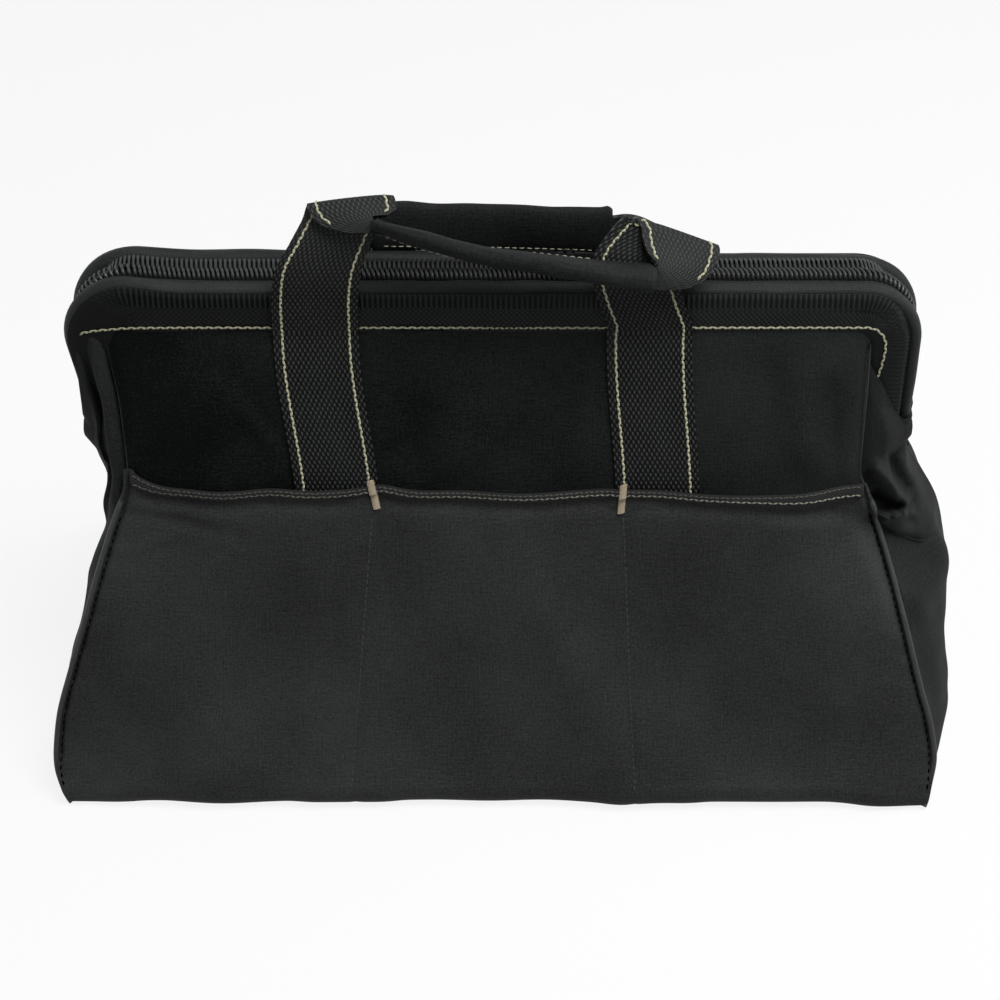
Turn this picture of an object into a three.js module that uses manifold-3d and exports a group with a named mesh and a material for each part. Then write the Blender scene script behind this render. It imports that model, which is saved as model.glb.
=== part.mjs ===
// A zip-topped tool tote with a hinged wire mouth, two webbing handles and an outside pocket on each side.
// Millimetres, +Z up, +X to the right seen from the front, the front at -Y. The origin is on the floor, under the middle.
import * as THREE from 'three';
import { mergeVertices } from 'three/addons/utils/BufferGeometryUtils.js';
import Module from 'manifold-3d';

const wasm = await Module();
wasm.setup();

// Driving dimensions
const BASE_LENGTH = 400;
const BASE_DEPTH = 200;
const BASE_CORNER = 12; // radius of the bottom panel's corners
const CLOTH = 1.6; // coated polyester with its backing
const CLEARANCE = 0.3; // between pieces that lie on each other
const BOARD = 3; // stiffener in the bottom
const BOARD_MARGIN = 8; // cloth left free round the stiffener

const RIM_HEIGHT = 228; // floor to the top of the rim
const RIM_LENGTH = 374; // over the rim, end to end
const RIM_CORNER = 30; // outside corner radius of the rim
const FRAME_LEG = 78; // top of the rim down to the hinge axis
const ROD = 5; // diameter of the mouth frame's steel rod
const SLEEVE_WALL = 1.7; // cloth sleeve sewn round the rod
const RIM_TAPE_WIDTH = 20;
const RIM_TAPE = 1.5; // thickness
const RIM_TAPE_DROP = 2.5; // sleeve left bare above the tape

const ZIPPER_GAP = 13; // between the two sleeves
const ZIPPER_TAPE = 1;
const ZIPPER_TAPE_RISE = 1.2; // middle of the tape above the middle of the rod
const COIL_WIDTH = 4.5; // one half of the chain
const COIL_HEIGHT = 3;
const COIL_SPLIT = 1.4; // between the two halves, where the slider's post runs

const EYE = 12; // flattened end of the rod, across
const EYE_THICKNESS = 3;
const RIVET = 4; // diameter of the shank
const RIVET_HEAD = 8;
const RIVET_HEAD_HEIGHT = 1.2;
const HINGE_PLATE = 2; // thickness
const HINGE_PLATE_WIDTH = 13;
const END_TAB_WIDTH = 26; // cloth tab sewn over each hinge
const END_TAB_RISE = 12; // above the hinge axis
const END_TAB_DROP = 18; // below it

const HEM_HEIGHT = 138; // top edge of the outside pocket
const HEM_LENGTH = 328; // wall length at that height
const SIDE_BOW = 5.5; // how far the wall's side edges bow out between floor and hem
const POCKET_SLACK = 7; // how far the pocket's mouth stands off in the middle of a compartment
const POCKET_DIVIDER = 55; // stitched divider, from the middle
const BINDING_WIDTH = 8; // tape round the pocket's top edge
const BINDING = 1;
const BARTACK_LENGTH = 10;
const BARTACK_WIDTH = 3;
const PIPING = 4; // diameter
const LEFT_BULGE = -5; // end panels, at half height: the left one has sunk in, the right one stands out
const RIGHT_BULGE = 14;
const GUSSET_TUCK = 4; // top edge of the end panels, in from the ends of the rim

const WEBBING_WIDTH = 38;
const WEBBING = 2;
const STRAP_SPACING = 142; // between the middles of the two straps on a wall
const FOLDED_WIDTH = 19; // webbing folded lengthwise inside the grip
const FOLDED = 4.3;
const GRIP_WIDTH = 22.5;
const GRIP = 7.6; // thickness
const GRIP_CHAMFER = 2.6;

const SLIDER_LENGTH = 22;
const SLIDER_WIDTH = 13.4;
const SLIDER_PLATE = 1.5;
const SLIDER_LIP = 1; // thickness of the lips that keep the chain in
const SLIDER_POST = 0.8;
const SLIDER_POST_LENGTH = 6;
const EAR_HEIGHT = 4.4;
const EAR_LENGTH = 5;
const EAR = 1.2; // thickness
const EAR_GAP = 3.8;
const PULL_PIN = 1.6; // diameter
const PULL_LENGTH = 32;
const PULL_WIDTH = 8;
const PULL = 1.6; // thickness
const PULL_EYE = 4.2; // round end on the pin
const SLIDERS_MEET = 42; // where the two sliders close up, from the middle

// Colours and finishes
const cloth = { color: 0x15171a, roughness: 0.78, metalness: 0 };
const webbing = { color: 0x121314, roughness: 0.7, metalness: 0 };
const rimTape = { color: 0x141518, roughness: 0.75, metalness: 0 };
const nylon = { color: 0x1c1d20, roughness: 0.42, metalness: 0 };
const pipingCloth = { color: 0x191b1c, roughness: 0.5, metalness: 0 };
const thread = { color: 0xc9b27c, roughness: 0.7, metalness: 0 };
const steel = { color: 0x8d9093, roughness: 0.4, metalness: 1 };
const blackMetal = { color: 0x222326, roughness: 0.35, metalness: 0.8 };
const board = { color: 0x2b2b2a, roughness: 0.8, metalness: 0 };

const bag = new THREE.Group();

function add(parent, name, geometry, finish) {
  const mesh = new THREE.Mesh(geometry, new THREE.MeshStandardMaterial(finish));
  mesh.name = name;
  parent.add(mesh);
  return mesh;
}

// Closed solids from rings of points, each ring with the same number of points.
function solid(rings, faces) {
  const geometry = new THREE.BufferGeometry().setFromPoints(rings.flat());
  geometry.setIndex(faces);
  return geometry;
}

function stripFaces(from, to, count, faces) {
  for (let i = 0; i < count; i++) {
    const j = (i + 1) % count;
    faces.push(from + i, from + j, to + j, from + i, to + j, to + i);
  }
}

// End caps, as triangles of a ring's own points: a fan for a compact ring, a strip for a long thin one.
function fanCap(count) {
  const cap = [];
  for (let i = 1; i < count - 1; i++) cap.push([0, i, i + 1]);
  return cap;
}

function stripCap(count) {
  const cap = [];
  for (let i = 0; i < count / 2 - 1; i++) {
    const opposite = count - 1 - i;
    cap.push([i, i + 1, opposite - 1], [i, opposite - 1, opposite]);
  }
  return cap;
}

function loft(rings, cap = fanCap) {
  const count = rings[0].length;
  const last = (rings.length - 1) * count;
  const faces = [];
  for (let k = 0; k < last; k += count) stripFaces(k, k + count, count, faces);
  for (const [a, b, c] of cap(count)) faces.push(a, c, b, last + a, last + b, last + c);
  return solid(rings, faces);
}

function hollowLoft(outer, inner) {
  const count = outer[0].length;
  const last = (outer.length - 1) * count;
  const bore = outer.length * count;
  const faces = [];
  const inside = [];
  for (let k = 0; k < last; k += count) {
    stripFaces(k, k + count, count, faces);
    stripFaces(bore + k, bore + k + count, count, inside);
  }
  stripFaces(bore, 0, count, faces);
  stripFaces(last, bore + last, count, faces);
  for (let i = 0; i < inside.length; i += 3) faces.push(inside[i], inside[i + 2], inside[i + 1]);
  return solid([...outer, ...inner], faces);
}

// A sheet of even thickness under an outer surface place(u, v), whose outside faces cross(du, dv).
function sheet(place, acrossSteps, upSteps, thickness) {
  const rings = [];
  const step = 1e-3;
  for (let j = 0; j <= upSteps; j++) {
    const v = j / upSteps;
    const outer = [];
    const inner = [];
    for (let i = 0; i <= acrossSteps; i++) {
      const u = i / acrossSteps;
      const point = place(u, v);
      const du = place(Math.min(u + step, 1), v).sub(place(Math.max(u - step, 0), v));
      const dv = place(u, Math.min(v + step, 1)).sub(place(u, Math.max(v - step, 0)));
      const normal = du.cross(dv).normalize();
      outer.push(point);
      inner.push(point.clone().addScaledVector(normal, -thickness));
    }
    rings.push([...outer, ...inner.reverse()]);
  }
  return loft(rings, stripCap);
}

// Joins and cuts
function toSolid(geometry) {
  const bare = geometry.clone();
  bare.deleteAttribute('normal');
  bare.deleteAttribute('uv');
  const merged = mergeVertices(bare, 1e-3);
  return new wasm.Manifold(new wasm.Mesh({
    numProp: 3,
    vertProperties: new Float32Array(merged.attributes.position.array),
    triVerts: new Uint32Array(merged.index.array),
  }));
}

function toGeometry(made) {
  const mesh = made.getMesh();
  const geometry = new THREE.BufferGeometry();
  geometry.setAttribute('position', new THREE.BufferAttribute(new Float32Array(mesh.vertProperties), 3));
  geometry.setIndex(new THREE.BufferAttribute(new Uint32Array(mesh.triVerts), 1));
  return geometry;
}

function box(sizeX, sizeY, sizeZ, x, y, z) {
  return new THREE.BoxGeometry(sizeX, sizeY, sizeZ).translate(x, y, z);
}

function rodAlongX(diameter, length, x, y, z) {
  return new THREE.CylinderGeometry(diameter / 2, diameter / 2, length, 16).rotateZ(Math.PI / 2).translate(x, y, z);
}

function rodAlongY(diameter, length, x, y, z) {
  return new THREE.CylinderGeometry(diameter / 2, diameter / 2, length, 16).translate(x, y, z);
}

// Where the rim runs: the line of the rod, up one end, along the top and down the other, in a plane of constant Y
const sleeveRadius = ROD / 2 + CLEARANCE + SLEEVE_WALL;
const rodX = RIM_LENGTH / 2 - sleeveRadius;
const rodY = ZIPPER_GAP / 2 + sleeveRadius;
const rodZ = RIM_HEIGHT - sleeveRadius;
const rodCorner = RIM_CORNER - sleeveRadius;
const hingeZ = RIM_HEIGHT - FRAME_LEG;
const CORNER_STEPS = 6;

function rimStations(legEnd) {
  const stations = [{ x: -rodX, z: legEnd, turn: Math.PI }];
  for (const side of [-1, 1]) {
    for (let i = 0; i <= CORNER_STEPS; i++) {
      const share = side < 0 ? 1 - i / CORNER_STEPS / 2 : 0.5 - i / CORNER_STEPS / 2;
      const turn = share * Math.PI;
      stations.push({
        x: side * (rodX - rodCorner) + rodCorner * Math.cos(turn),
        z: rodZ - rodCorner + rodCorner * Math.sin(turn),
        turn,
      });
    }
  }
  stations.push({ x: rodX, z: legEnd, turn: 0 });
  return stations;
}

// Rings of a section swept round the rim. The section's points are [y, out], out from the rod's line.
function rimRings(section, legEnd) {
  return rimStations(legEnd).map(({ x, z, turn }) => section.map(([y, out]) => new THREE.Vector3(
    x + out * Math.cos(turn),
    y,
    z + out * Math.sin(turn),
  )));
}

function roundSection(radius, sides, y) {
  const points = [];
  for (let i = 0; i < sides; i++) {
    const angle = (i + 0.5) * 2 * Math.PI / sides;
    points.push([y + radius * Math.cos(angle), radius * Math.sin(angle)]);
  }
  return points;
}

function flatSection(yLow, yHigh, outLow, outHigh) {
  return [[yLow, outLow], [yHigh, outLow], [yHigh, outHigh], [yLow, outHigh]];
}

// One half of the mouth, built as the front half
const ROD_SIDES = 10;
const tapeFace = rodY + sleeveRadius + CLEARANCE + RIM_TAPE; // outside of the rim tape
const tapeInner = sleeveRadius - RIM_TAPE_DROP - RIM_TAPE_WIDTH;
const tapeOuter = sleeveRadius - RIM_TAPE_DROP;
const coilLow = ZIPPER_TAPE_RISE + ZIPPER_TAPE / 2 + CLEARANCE;
const coilTop = rodZ + coilLow + COIL_HEIGHT;
const legEnd = hingeZ + Math.max(EYE, HINGE_PLATE_WIDTH) / 2 + 2 * CLEARANCE; // clear of the hinge plate's round end

function frameRod() {
  let made = toSolid(loft(rimRings(roundSection(ROD / 2, ROD_SIDES, -rodY), legEnd)));
  const flatHigh = legEnd + ROD / 2 - hingeZ;
  for (const side of [-1, 1]) {
    made = made.add(toSolid(rodAlongX(EYE, EYE_THICKNESS, side * rodX, -rodY, hingeZ)));
    made = made.add(toSolid(box(EYE_THICKNESS, 0.8 * ROD, flatHigh, side * rodX, -rodY, hingeZ + flatHigh / 2)));
  }
  for (const side of [-1, 1]) {
    const hole = rodAlongX(RIVET + 2 * CLEARANCE, 2 * EYE, side * rodX, -rodY, hingeZ);
    made = made.subtract(toSolid(hole));
  }
  return toGeometry(made);
}

function buildMouth(side, turn) {
  const half = new THREE.Group();
  half.rotation.z = turn;
  bag.add(half);
  add(half, `${side}_frame_rod`, frameRod(), steel);
  const bore = roundSection(ROD / 2 + CLEARANCE, ROD_SIDES, -rodY);
  const skin = roundSection(sleeveRadius, ROD_SIDES, -rodY);
  add(half, `${side}_rim_sleeve`, hollowLoft(rimRings(skin, legEnd), rimRings(bore, legEnd)), cloth);
  const tape = flatSection(-tapeFace, RIM_TAPE - tapeFace, tapeInner, tapeOuter);
  add(half, `${side}_rim_tape`, loft(rimRings(tape, legEnd)), rimTape);
  const zipperOuter = -(COIL_SPLIT / 2 + COIL_WIDTH);
  const zipperInner = -COIL_SPLIT / 2;
  const zipperTape = flatSection(
    CLEARANCE - ZIPPER_GAP / 2,
    zipperInner - CLEARANCE,
    ZIPPER_TAPE_RISE - ZIPPER_TAPE / 2,
    ZIPPER_TAPE_RISE + ZIPPER_TAPE / 2,
  );
  add(half, `${side}_zipper_tape`, loft(rimRings(zipperTape, legEnd)), rimTape);
  const shoulder = COIL_HEIGHT / 3;
  const coil = [
    [zipperOuter, coilLow],
    [zipperInner, coilLow],
    [zipperInner, coilLow + COIL_HEIGHT - shoulder],
    [zipperInner - shoulder, coilLow + COIL_HEIGHT],
    [zipperOuter + shoulder, coilLow + COIL_HEIGHT],
    [zipperOuter, coilLow + COIL_HEIGHT - shoulder],
  ];
  add(half, `${side}_zipper_coil`, loft(rimRings(coil, legEnd)), nylon);
}

// Hinge plates and rivets at the two ends, with a cloth tab over each
const plateX = rodX - EYE_THICKNESS / 2 - CLEARANCE - HINGE_PLATE / 2;

function hingePlate(x) {
  let made = toSolid(box(HINGE_PLATE, 2 * rodY, HINGE_PLATE_WIDTH, x, 0, hingeZ));
  for (const y of [-rodY, rodY]) made = made.add(toSolid(rodAlongX(HINGE_PLATE_WIDTH, HINGE_PLATE, x, y, hingeZ)));
  for (const y of [-rodY, rodY]) {
    made = made.subtract(toSolid(rodAlongX(RIVET + 2 * CLEARANCE, 2 * HINGE_PLATE, x, y, hingeZ)));
  }
  return toGeometry(made);
}

function rivet(x, y, inward) {
  const stack = HINGE_PLATE + EYE_THICKNESS + 3 * CLEARANCE;
  const middle = x + inward * (EYE_THICKNESS / 2 + CLEARANCE - stack / 2);
  let made = toSolid(rodAlongX(RIVET, stack + RIVET_HEAD_HEIGHT, middle, y, hingeZ));
  for (const end of [-1, 1]) {
    const headX = middle + end * (stack + RIVET_HEAD_HEIGHT) / 2;
    made = made.add(toSolid(rodAlongX(RIVET_HEAD, RIVET_HEAD_HEIGHT, headX, y, hingeZ)));
  }
  return toGeometry(made);
}

function buildHinges() {
  const coilOut = rodX + coilLow + COIL_HEIGHT;
  for (const [side, sign] of [['left', -1], ['right', 1]]) {
    add(bag, `${side}_hinge_plate`, hingePlate(sign * plateX), steel);
    add(bag, `front_${side}_rivet`, rivet(sign * rodX, -rodY, sign), steel);
    add(bag, `back_${side}_rivet`, rivet(sign * rodX, rodY, sign), steel);
    const tabHeight = END_TAB_RISE + END_TAB_DROP;
    const behindTab = Math.max(coilOut, gussetMiddle(sign, hingeZ - END_TAB_DROP));
    const tabX = sign * (behindTab + 2 * CLEARANCE + CLOTH / 2);
    const tabZ = hingeZ + (END_TAB_RISE - END_TAB_DROP) / 2;
    add(bag, `${side}_end_tab`, box(CLOTH, END_TAB_WIDTH, tabHeight, tabX, 0, tabZ), cloth);
  }
}

// The front and back walls lean in from the floor to the rim tape. A wall's own frame is x along it, s up it, n out of it.
const wallStack = CLOTH + WEBBING + 2 * CLEARANCE; // strap and pocket outside the wall
const wallFoot = BASE_DEPTH / 2 - wallStack;
const wallHeadZ = rodZ + tapeInner - CLEARANCE;
const lean = Math.atan2(wallFoot - tapeFace, wallHeadZ);
const slantOf = (height) => height / Math.cos(lean);
const slantFoot = (CLOTH + CLEARANCE + CLOTH * Math.sin(lean)) / Math.cos(lean);
const slantHem = slantOf(HEM_HEIGHT);
const slantHead = slantOf(wallHeadZ);
const footHalf = BASE_LENGTH / 2 - PIPING;
const hemHalf = HEM_LENGTH / 2;
const headHalf = rodX + tapeInner - 2 * CLEARANCE;

function wallPoint(x, s, n) {
  return new THREE.Vector3(
    x,
    -wallFoot + s * Math.sin(lean) - n * Math.cos(lean),
    s * Math.cos(lean) + n * Math.sin(lean),
  );
}

function halfWidth(s) {
  const t = s / slantHem;
  return THREE.MathUtils.lerp(footHalf, hemHalf, t) + SIDE_BOW * 4 * t * (1 - t);
}

// Above the hem the wall narrows or widens to fit inside the rim tape, with its round top corners.
function upperHalfWidth(s) {
  const corner = Math.max(rodCorner + tapeInner, 0);
  const intoCorner = Math.max(s - slantHead + corner, 0);
  const drawnIn = corner - Math.sqrt(corner ** 2 - intoCorner ** 2);
  const towardsLegs = THREE.MathUtils.clamp((s - slantHem) / (slantOf(legEnd) - slantHem), 0, 1);
  return THREE.MathUtils.lerp(hemHalf, headHalf, towardsLegs) - drawnIn;
}

// It lies flat under the straps, and its sides turn back to meet the legs of the frame.
const UPPER_COLUMNS = 14;
const UPPER_ROWS = 7;

function upperPoint(u, v) {
  const s = THREE.MathUtils.lerp(slantHem, slantHead, v);
  const signed = Math.sin(Math.PI * (u - 0.5));
  const point = wallPoint(signed * upperHalfWidth(s), s, 0);
  const turnedBack = signed ** 6 * (1 - (1 - v) ** 8);
  point.y = THREE.MathUtils.lerp(point.y, -tapeFace, turnedBack);
  return point;
}

const EDGE_STEPS = 6;

function lowerPanel() {
  const outline = [];
  for (let i = 0; i <= EDGE_STEPS; i++) {
    outline.push(THREE.MathUtils.lerp(slantFoot, slantHem - CLOTH, i / EDGE_STEPS));
  }
  const right = outline.map((s) => new THREE.Vector2(halfWidth(s), s));
  const left = outline.map((s) => new THREE.Vector2(-halfWidth(s), s)).reverse();
  const shape = new THREE.Shape([...right, ...left]);
  const made = new THREE.ExtrudeGeometry(shape, { depth: CLOTH, bevelEnabled: false });
  return made.translate(0, 0, -CLOTH);
}

// How far the inside of the pocket stands off the wall: over the straps in the middle, slack between the dividers.
function pocketGap(x, s) {
  const half = halfWidth(s);
  const strapReach = (STRAP_SPACING + WEBBING_WIDTH) / 2 + 2;
  const ramp = THREE.MathUtils.clamp((half - Math.abs(x)) / (half - strapReach), 0, 1);
  const overStraps = CLEARANCE + (WEBBING + CLEARANCE) * ramp;
  const inner = Math.abs(x) < POCKET_DIVIDER;
  const span = inner ? 2 * POCKET_DIVIDER : half - POCKET_DIVIDER;
  const along = inner ? x + POCKET_DIVIDER : Math.abs(x) - POCKET_DIVIDER;
  const puff = Math.sin(Math.PI * THREE.MathUtils.clamp(along / span, 0, 1));
  return overStraps + POCKET_SLACK * puff * (s / slantHem) ** 2;
}

const POCKET_COLUMNS = 20;
const POCKET_ROWS = 5;

// Columns are spread so that each divider, and the edge of each strap beside it, falls on one.
function pocketX(u, s) {
  const edge = halfWidth(s) - CLEARANCE;
  const signed = 2 * u - 1;
  const share = Math.abs(signed);
  const inner = 0.4;
  const reach = share < inner
    ? POCKET_DIVIDER * share / inner
    : POCKET_DIVIDER + (edge - POCKET_DIVIDER) * (share - inner) / (1 - inner);
  return Math.sign(signed) * reach;
}

function pocketPoint(u, s, lift) {
  const x = pocketX(u, s);
  return wallPoint(x, s, pocketGap(x, s) + lift);
}

function strapLeg(x, sLow, sHigh) {
  return box(WEBBING_WIDTH, sHigh - sLow, WEBBING, x, (sLow + sHigh) / 2, CLEARANCE + WEBBING / 2);
}

function buildWall(side, turn) {
  const wall = new THREE.Group();
  wall.rotation.z = turn;
  bag.add(wall);
  const face = new THREE.Group();
  face.position.set(0, -wallFoot, 0);
  face.rotation.x = Math.PI / 2 - lean;
  wall.add(face);

  add(face, `${side}_lower_panel`, lowerPanel(), cloth);
  add(wall, `${side}_upper_panel`, sheet(upperPoint, UPPER_COLUMNS, UPPER_ROWS, CLOTH), cloth);

  for (const [hand, sign] of [['left', -1], ['right', 1]]) {
    const x = sign * STRAP_SPACING / 2;
    add(face, `${side}_${hand}_strap_foot`, strapLeg(x, slantFoot + CLEARANCE, slantHem - CLEARANCE), webbing);
    add(face, `${side}_${hand}_strap_leg`, strapLeg(x, slantHem, slantHead), webbing);
  }

  const pocketFoot = (CLOTH + CLEARANCE) / Math.cos(lean);
  const pocketRow = (v) => THREE.MathUtils.lerp(pocketFoot, slantHem, v);
  const pocket = sheet((u, v) => pocketPoint(u, pocketRow(v), CLOTH), POCKET_COLUMNS, POCKET_ROWS, CLOTH);
  add(wall, `${side}_pocket_panel`, pocket, cloth);
  const bindingLift = CLOTH + 2 * CLEARANCE + BINDING;
  const bindingRow = (v) => slantHem - BINDING_WIDTH * (1 - v);
  const binding = sheet((u, v) => pocketPoint(u, bindingRow(v), bindingLift), POCKET_COLUMNS, 1, BINDING);
  add(wall, `${side}_pocket_binding`, binding, rimTape);

  for (const [hand, sign] of [['left', -1], ['right', 1]]) {
    const x = sign * POCKET_DIVIDER;
    const seat = pocketGap(x, slantHem) + bindingLift + 3 * CLEARANCE;
    const tack = box(BARTACK_WIDTH, BARTACK_LENGTH, BINDING, x, slantHem - BARTACK_LENGTH / 2, seat + BINDING / 2);
    add(face, `${side}_${hand}_bartack`, tack, thread);
    add(wall, `${side}_${hand}_piping`, piping(sign), pipingCloth);
  }
}

const PIPING_SIDES = 8;
const PIPING_STEPS = 7;

// The middle of the piping, square to the wall's slanting edge
function pipingX(s) {
  const slope = (halfWidth(s + 1) - halfWidth(s - 1)) / 2;
  return halfWidth(s) + (PIPING / 2 + CLEARANCE) * Math.hypot(1, slope);
}

function piping(sign) {
  const points = [];
  const foot = (CLOTH + CLEARANCE + PIPING / 2) / Math.cos(lean);
  for (let i = 0; i <= PIPING_STEPS; i++) {
    const s = THREE.MathUtils.lerp(foot, slantHem, i / PIPING_STEPS);
    points.push(wallPoint(sign * pipingX(s), s, 0));
  }
  const round = new THREE.Shape();
  round.absarc(0, 0, PIPING / 2, 0, 2 * Math.PI);
  return new THREE.ExtrudeGeometry(round, {
    curveSegments: PIPING_SIDES,
    steps: PIPING_STEPS,
    bevelEnabled: false,
    extrudePath: new THREE.CatmullRomCurve3(points),
  });
}

// End panels: each arches between the two walls' side edges, and draws in under the hinge.
const GUSSET_COLUMNS = 12;
const GUSSET_ROWS = 6;

const gussetFoot = CLOTH + 2 * CLEARANCE;

function gussetMiddle(sign, height) {
  const v = Math.min((height - gussetFoot) / (HEM_HEIGHT - gussetFoot), 1);
  const bulge = sign < 0 ? LEFT_BULGE : RIGHT_BULGE;
  const straight = THREE.MathUtils.lerp(BASE_LENGTH / 2, RIM_LENGTH / 2 - GUSSET_TUCK, v * v);
  return straight + bulge * 4 * v * (1 - v);
}

function gussetPoint(sign, u, v) {
  const inset = PIPING / 2 + CLEARANCE + CLOTH;
  const seam = (height) => wallPoint(0, (height + inset * Math.sin(lean)) / Math.cos(lean), -inset);
  const height = THREE.MathUtils.lerp(gussetFoot, HEM_HEIGHT, v);
  const edge = seam(height);
  const edgeX = pipingX(slantOf(height));
  const across = 2 * u - 1;
  const x = THREE.MathUtils.lerp(gussetMiddle(sign, height), edgeX, across * across);
  return new THREE.Vector3(sign * x, sign * across * Math.abs(edge.y), height);
}

// The top of each end panel turns in under the hinge and up inside it, to the legs of both frame halves.
const GUSSET_TOP_ROWS = 4;

function gussetTopPoint(sign, u, v) {
  const low = gussetPoint(sign, u, 1);
  low.z += CLOTH + 2 * CLEARANCE;
  const depth = Math.abs(low.y);
  const behindLegs = THREE.MathUtils.clamp(1 - depth / tapeFace, 0, 1);
  const insideHinge = plateX - HINGE_PLATE / 2 - RIVET_HEAD_HEIGHT - CLEARANCE - 2 * CLOTH;
  const seamX = hemHalf + CLOTH + 2 * CLEARANCE;
  const highX = THREE.MathUtils.lerp(seamX, insideHinge, Math.sqrt(behindLegs));
  const seamDepth = Math.abs(gussetPoint(sign, 0, 1).y);
  const climb = THREE.MathUtils.clamp((seamDepth - depth) / (seamDepth - tapeFace), 0, 1);
  const highZ = THREE.MathUtils.lerp(low.z + CLOTH, legEnd - CLEARANCE, climb);
  const high = new THREE.Vector3(sign * highX, low.y, highZ);
  const elbow = new THREE.Vector3(high.x, low.y, low.z + CLOTH / 2);
  return new THREE.QuadraticBezierCurve3(low, elbow, high).getPoint(v);
}

function buildBase() {
  const outline = new THREE.Shape();
  const x = BASE_LENGTH / 2;
  const y = BASE_DEPTH / 2;
  const r = BASE_CORNER;
  outline.absarc(x - r, y - r, r, 0, Math.PI / 2);
  outline.absarc(-x + r, y - r, r, Math.PI / 2, Math.PI);
  outline.absarc(-x + r, -y + r, r, Math.PI, 1.5 * Math.PI);
  outline.absarc(x - r, -y + r, r, 1.5 * Math.PI, 2 * Math.PI);
  const bottom = new THREE.ExtrudeGeometry(outline, { depth: CLOTH, bevelEnabled: false, curveSegments: 4 });
  add(bag, 'bottom_panel', bottom, cloth);
  const boardLow = CLOTH + CLEARANCE;
  const boardLength = 2 * (footHalf - BOARD_MARGIN);
  const boardDepth = 2 * (wallFoot - BOARD_MARGIN);
  add(bag, 'base_board', box(boardLength, boardDepth, BOARD, 0, 0, boardLow + BOARD / 2), board);
  for (const [hand, sign] of [['left', -1], ['right', 1]]) {
    const gusset = sheet((u, v) => gussetPoint(sign, u, v), GUSSET_COLUMNS, GUSSET_ROWS, CLOTH);
    add(bag, `${hand}_gusset`, gusset, cloth);
    const top = sheet((u, v) => gussetTopPoint(sign, u, v), GUSSET_COLUMNS, GUSSET_TOP_ROWS, CLOTH);
    add(bag, `${hand}_gusset_top`, top, cloth);
  }
}

// Handles: one strap each, up from the rim, folded lengthwise through a cloth grip and down again.
// A station is its place, the way across the strap, and how far the strap is folded (0 flat, 1 folded).
// Places are from the strap's own line along X, from the strap's face on the rim along Y and from the rim's top along Z.
const strapFace = tapeFace + CLEARANCE + WEBBING / 2;
const strapStart = wallHeadZ + 4 * CLEARANCE - RIM_HEIGHT;
const slumpedHandle = [
  { line: -1, place: [0, 0, strapStart], across: [1, 0, 0], fold: 0 },
  { line: -1, place: [-6, -1.6, 2], across: [1, 0, 0.14], fold: 0 },
  { line: -1, place: [-2, 0.5, 21], across: [1, 0.1, 0.12], fold: 0.15 },
  { line: -1, place: [6, 1.5, 31], across: [0.8, 0.42, -0.42], fold: 0.55 },
  { line: -1, place: [19, -3.5, 33], across: [0, 0.79, -0.61], fold: 1, grip: true },
  { line: 0, place: [7, -7.4, 24.5], across: [0, 0.87, -0.5], fold: 1, grip: true },
  { line: 1, place: [-5, -10.4, 14.5], across: [0, 0.94, -0.34], fold: 1, grip: true },
  { line: 1, place: [6, -7, 16], across: [-0.75, 0.5, -0.42], fold: 0.55 },
  { line: 1, place: [6, -1, 9], across: [-1, 0.1, -0.2], fold: 0.15 },
  { line: 1, place: [-3, -1.4, -6], across: [-1, 0, 0], fold: 0 },
  { line: 1, place: [0, 0, strapStart], across: [-1, 0, 0], fold: 0 },
];
const raisedHandle = [
  { line: -1, place: [0, 0, strapStart], across: [1, 0, 0], fold: 0 },
  { line: -1, place: [0, -0.5, -4], across: [1, 0, 0], fold: 0 },
  { line: -1, place: [3, 0.5, 7], across: [0.85, 0, -0.5], fold: 0.4 },
  { line: -1, place: [21, 3, 13.5], across: [0, 0, -1], fold: 1, grip: true },
  { line: 0, place: [0, 3, 14], across: [0, 0, -1], fold: 1, grip: true },
  { line: 1, place: [-21, 3, 13.5], across: [0, 0, -1], fold: 1, grip: true },
  { line: 1, place: [-3, 0.5, 7], across: [-0.85, 0, -0.5], fold: 0.4 },
  { line: 1, place: [0, -0.5, -4], across: [-1, 0, 0], fold: 0 },
  { line: 1, place: [0, 0, strapStart], across: [-1, 0, 0], fold: 0 },
];

function handleFrames(stations) {
  const centres = stations.map(({ line, place: [x, y, z] }) => new THREE.Vector3(
    line * STRAP_SPACING / 2 + x,
    y - strapFace,
    RIM_HEIGHT + z,
  ));
  return stations.map((station, i) => {
    const before = centres[Math.max(i - 1, 0)];
    const after = centres[Math.min(i + 1, centres.length - 1)];
    const along = after.clone().sub(before).normalize();
    const across = new THREE.Vector3(...station.across).normalize();
    const out = along.cross(across).normalize();
    return { ...station, centre: centres[i], across, out };
  });
}

function rectangleRing({ centre, across, out, fold }) {
  const width = THREE.MathUtils.lerp(WEBBING_WIDTH, FOLDED_WIDTH, fold) / 2;
  const thickness = THREE.MathUtils.lerp(WEBBING, FOLDED, fold) / 2;
  const corners = [[-width, -thickness], [width, -thickness], [width, thickness], [-width, thickness]];
  return corners.map(([a, b]) => centre.clone().addScaledVector(across, a).addScaledVector(out, b));
}

function chamferedRing({ centre, across, out }, width, thickness, chamfer) {
  const a = width / 2;
  const b = thickness / 2;
  const corners = [
    [a, chamfer - b], [a, b - chamfer], [a - chamfer, b], [chamfer - a, b],
    [-a, b - chamfer], [-a, chamfer - b], [chamfer - a, -b], [a - chamfer, -b],
  ];
  return corners.map(([p, q]) => centre.clone().addScaledVector(across, p).addScaledVector(out, q));
}

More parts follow.
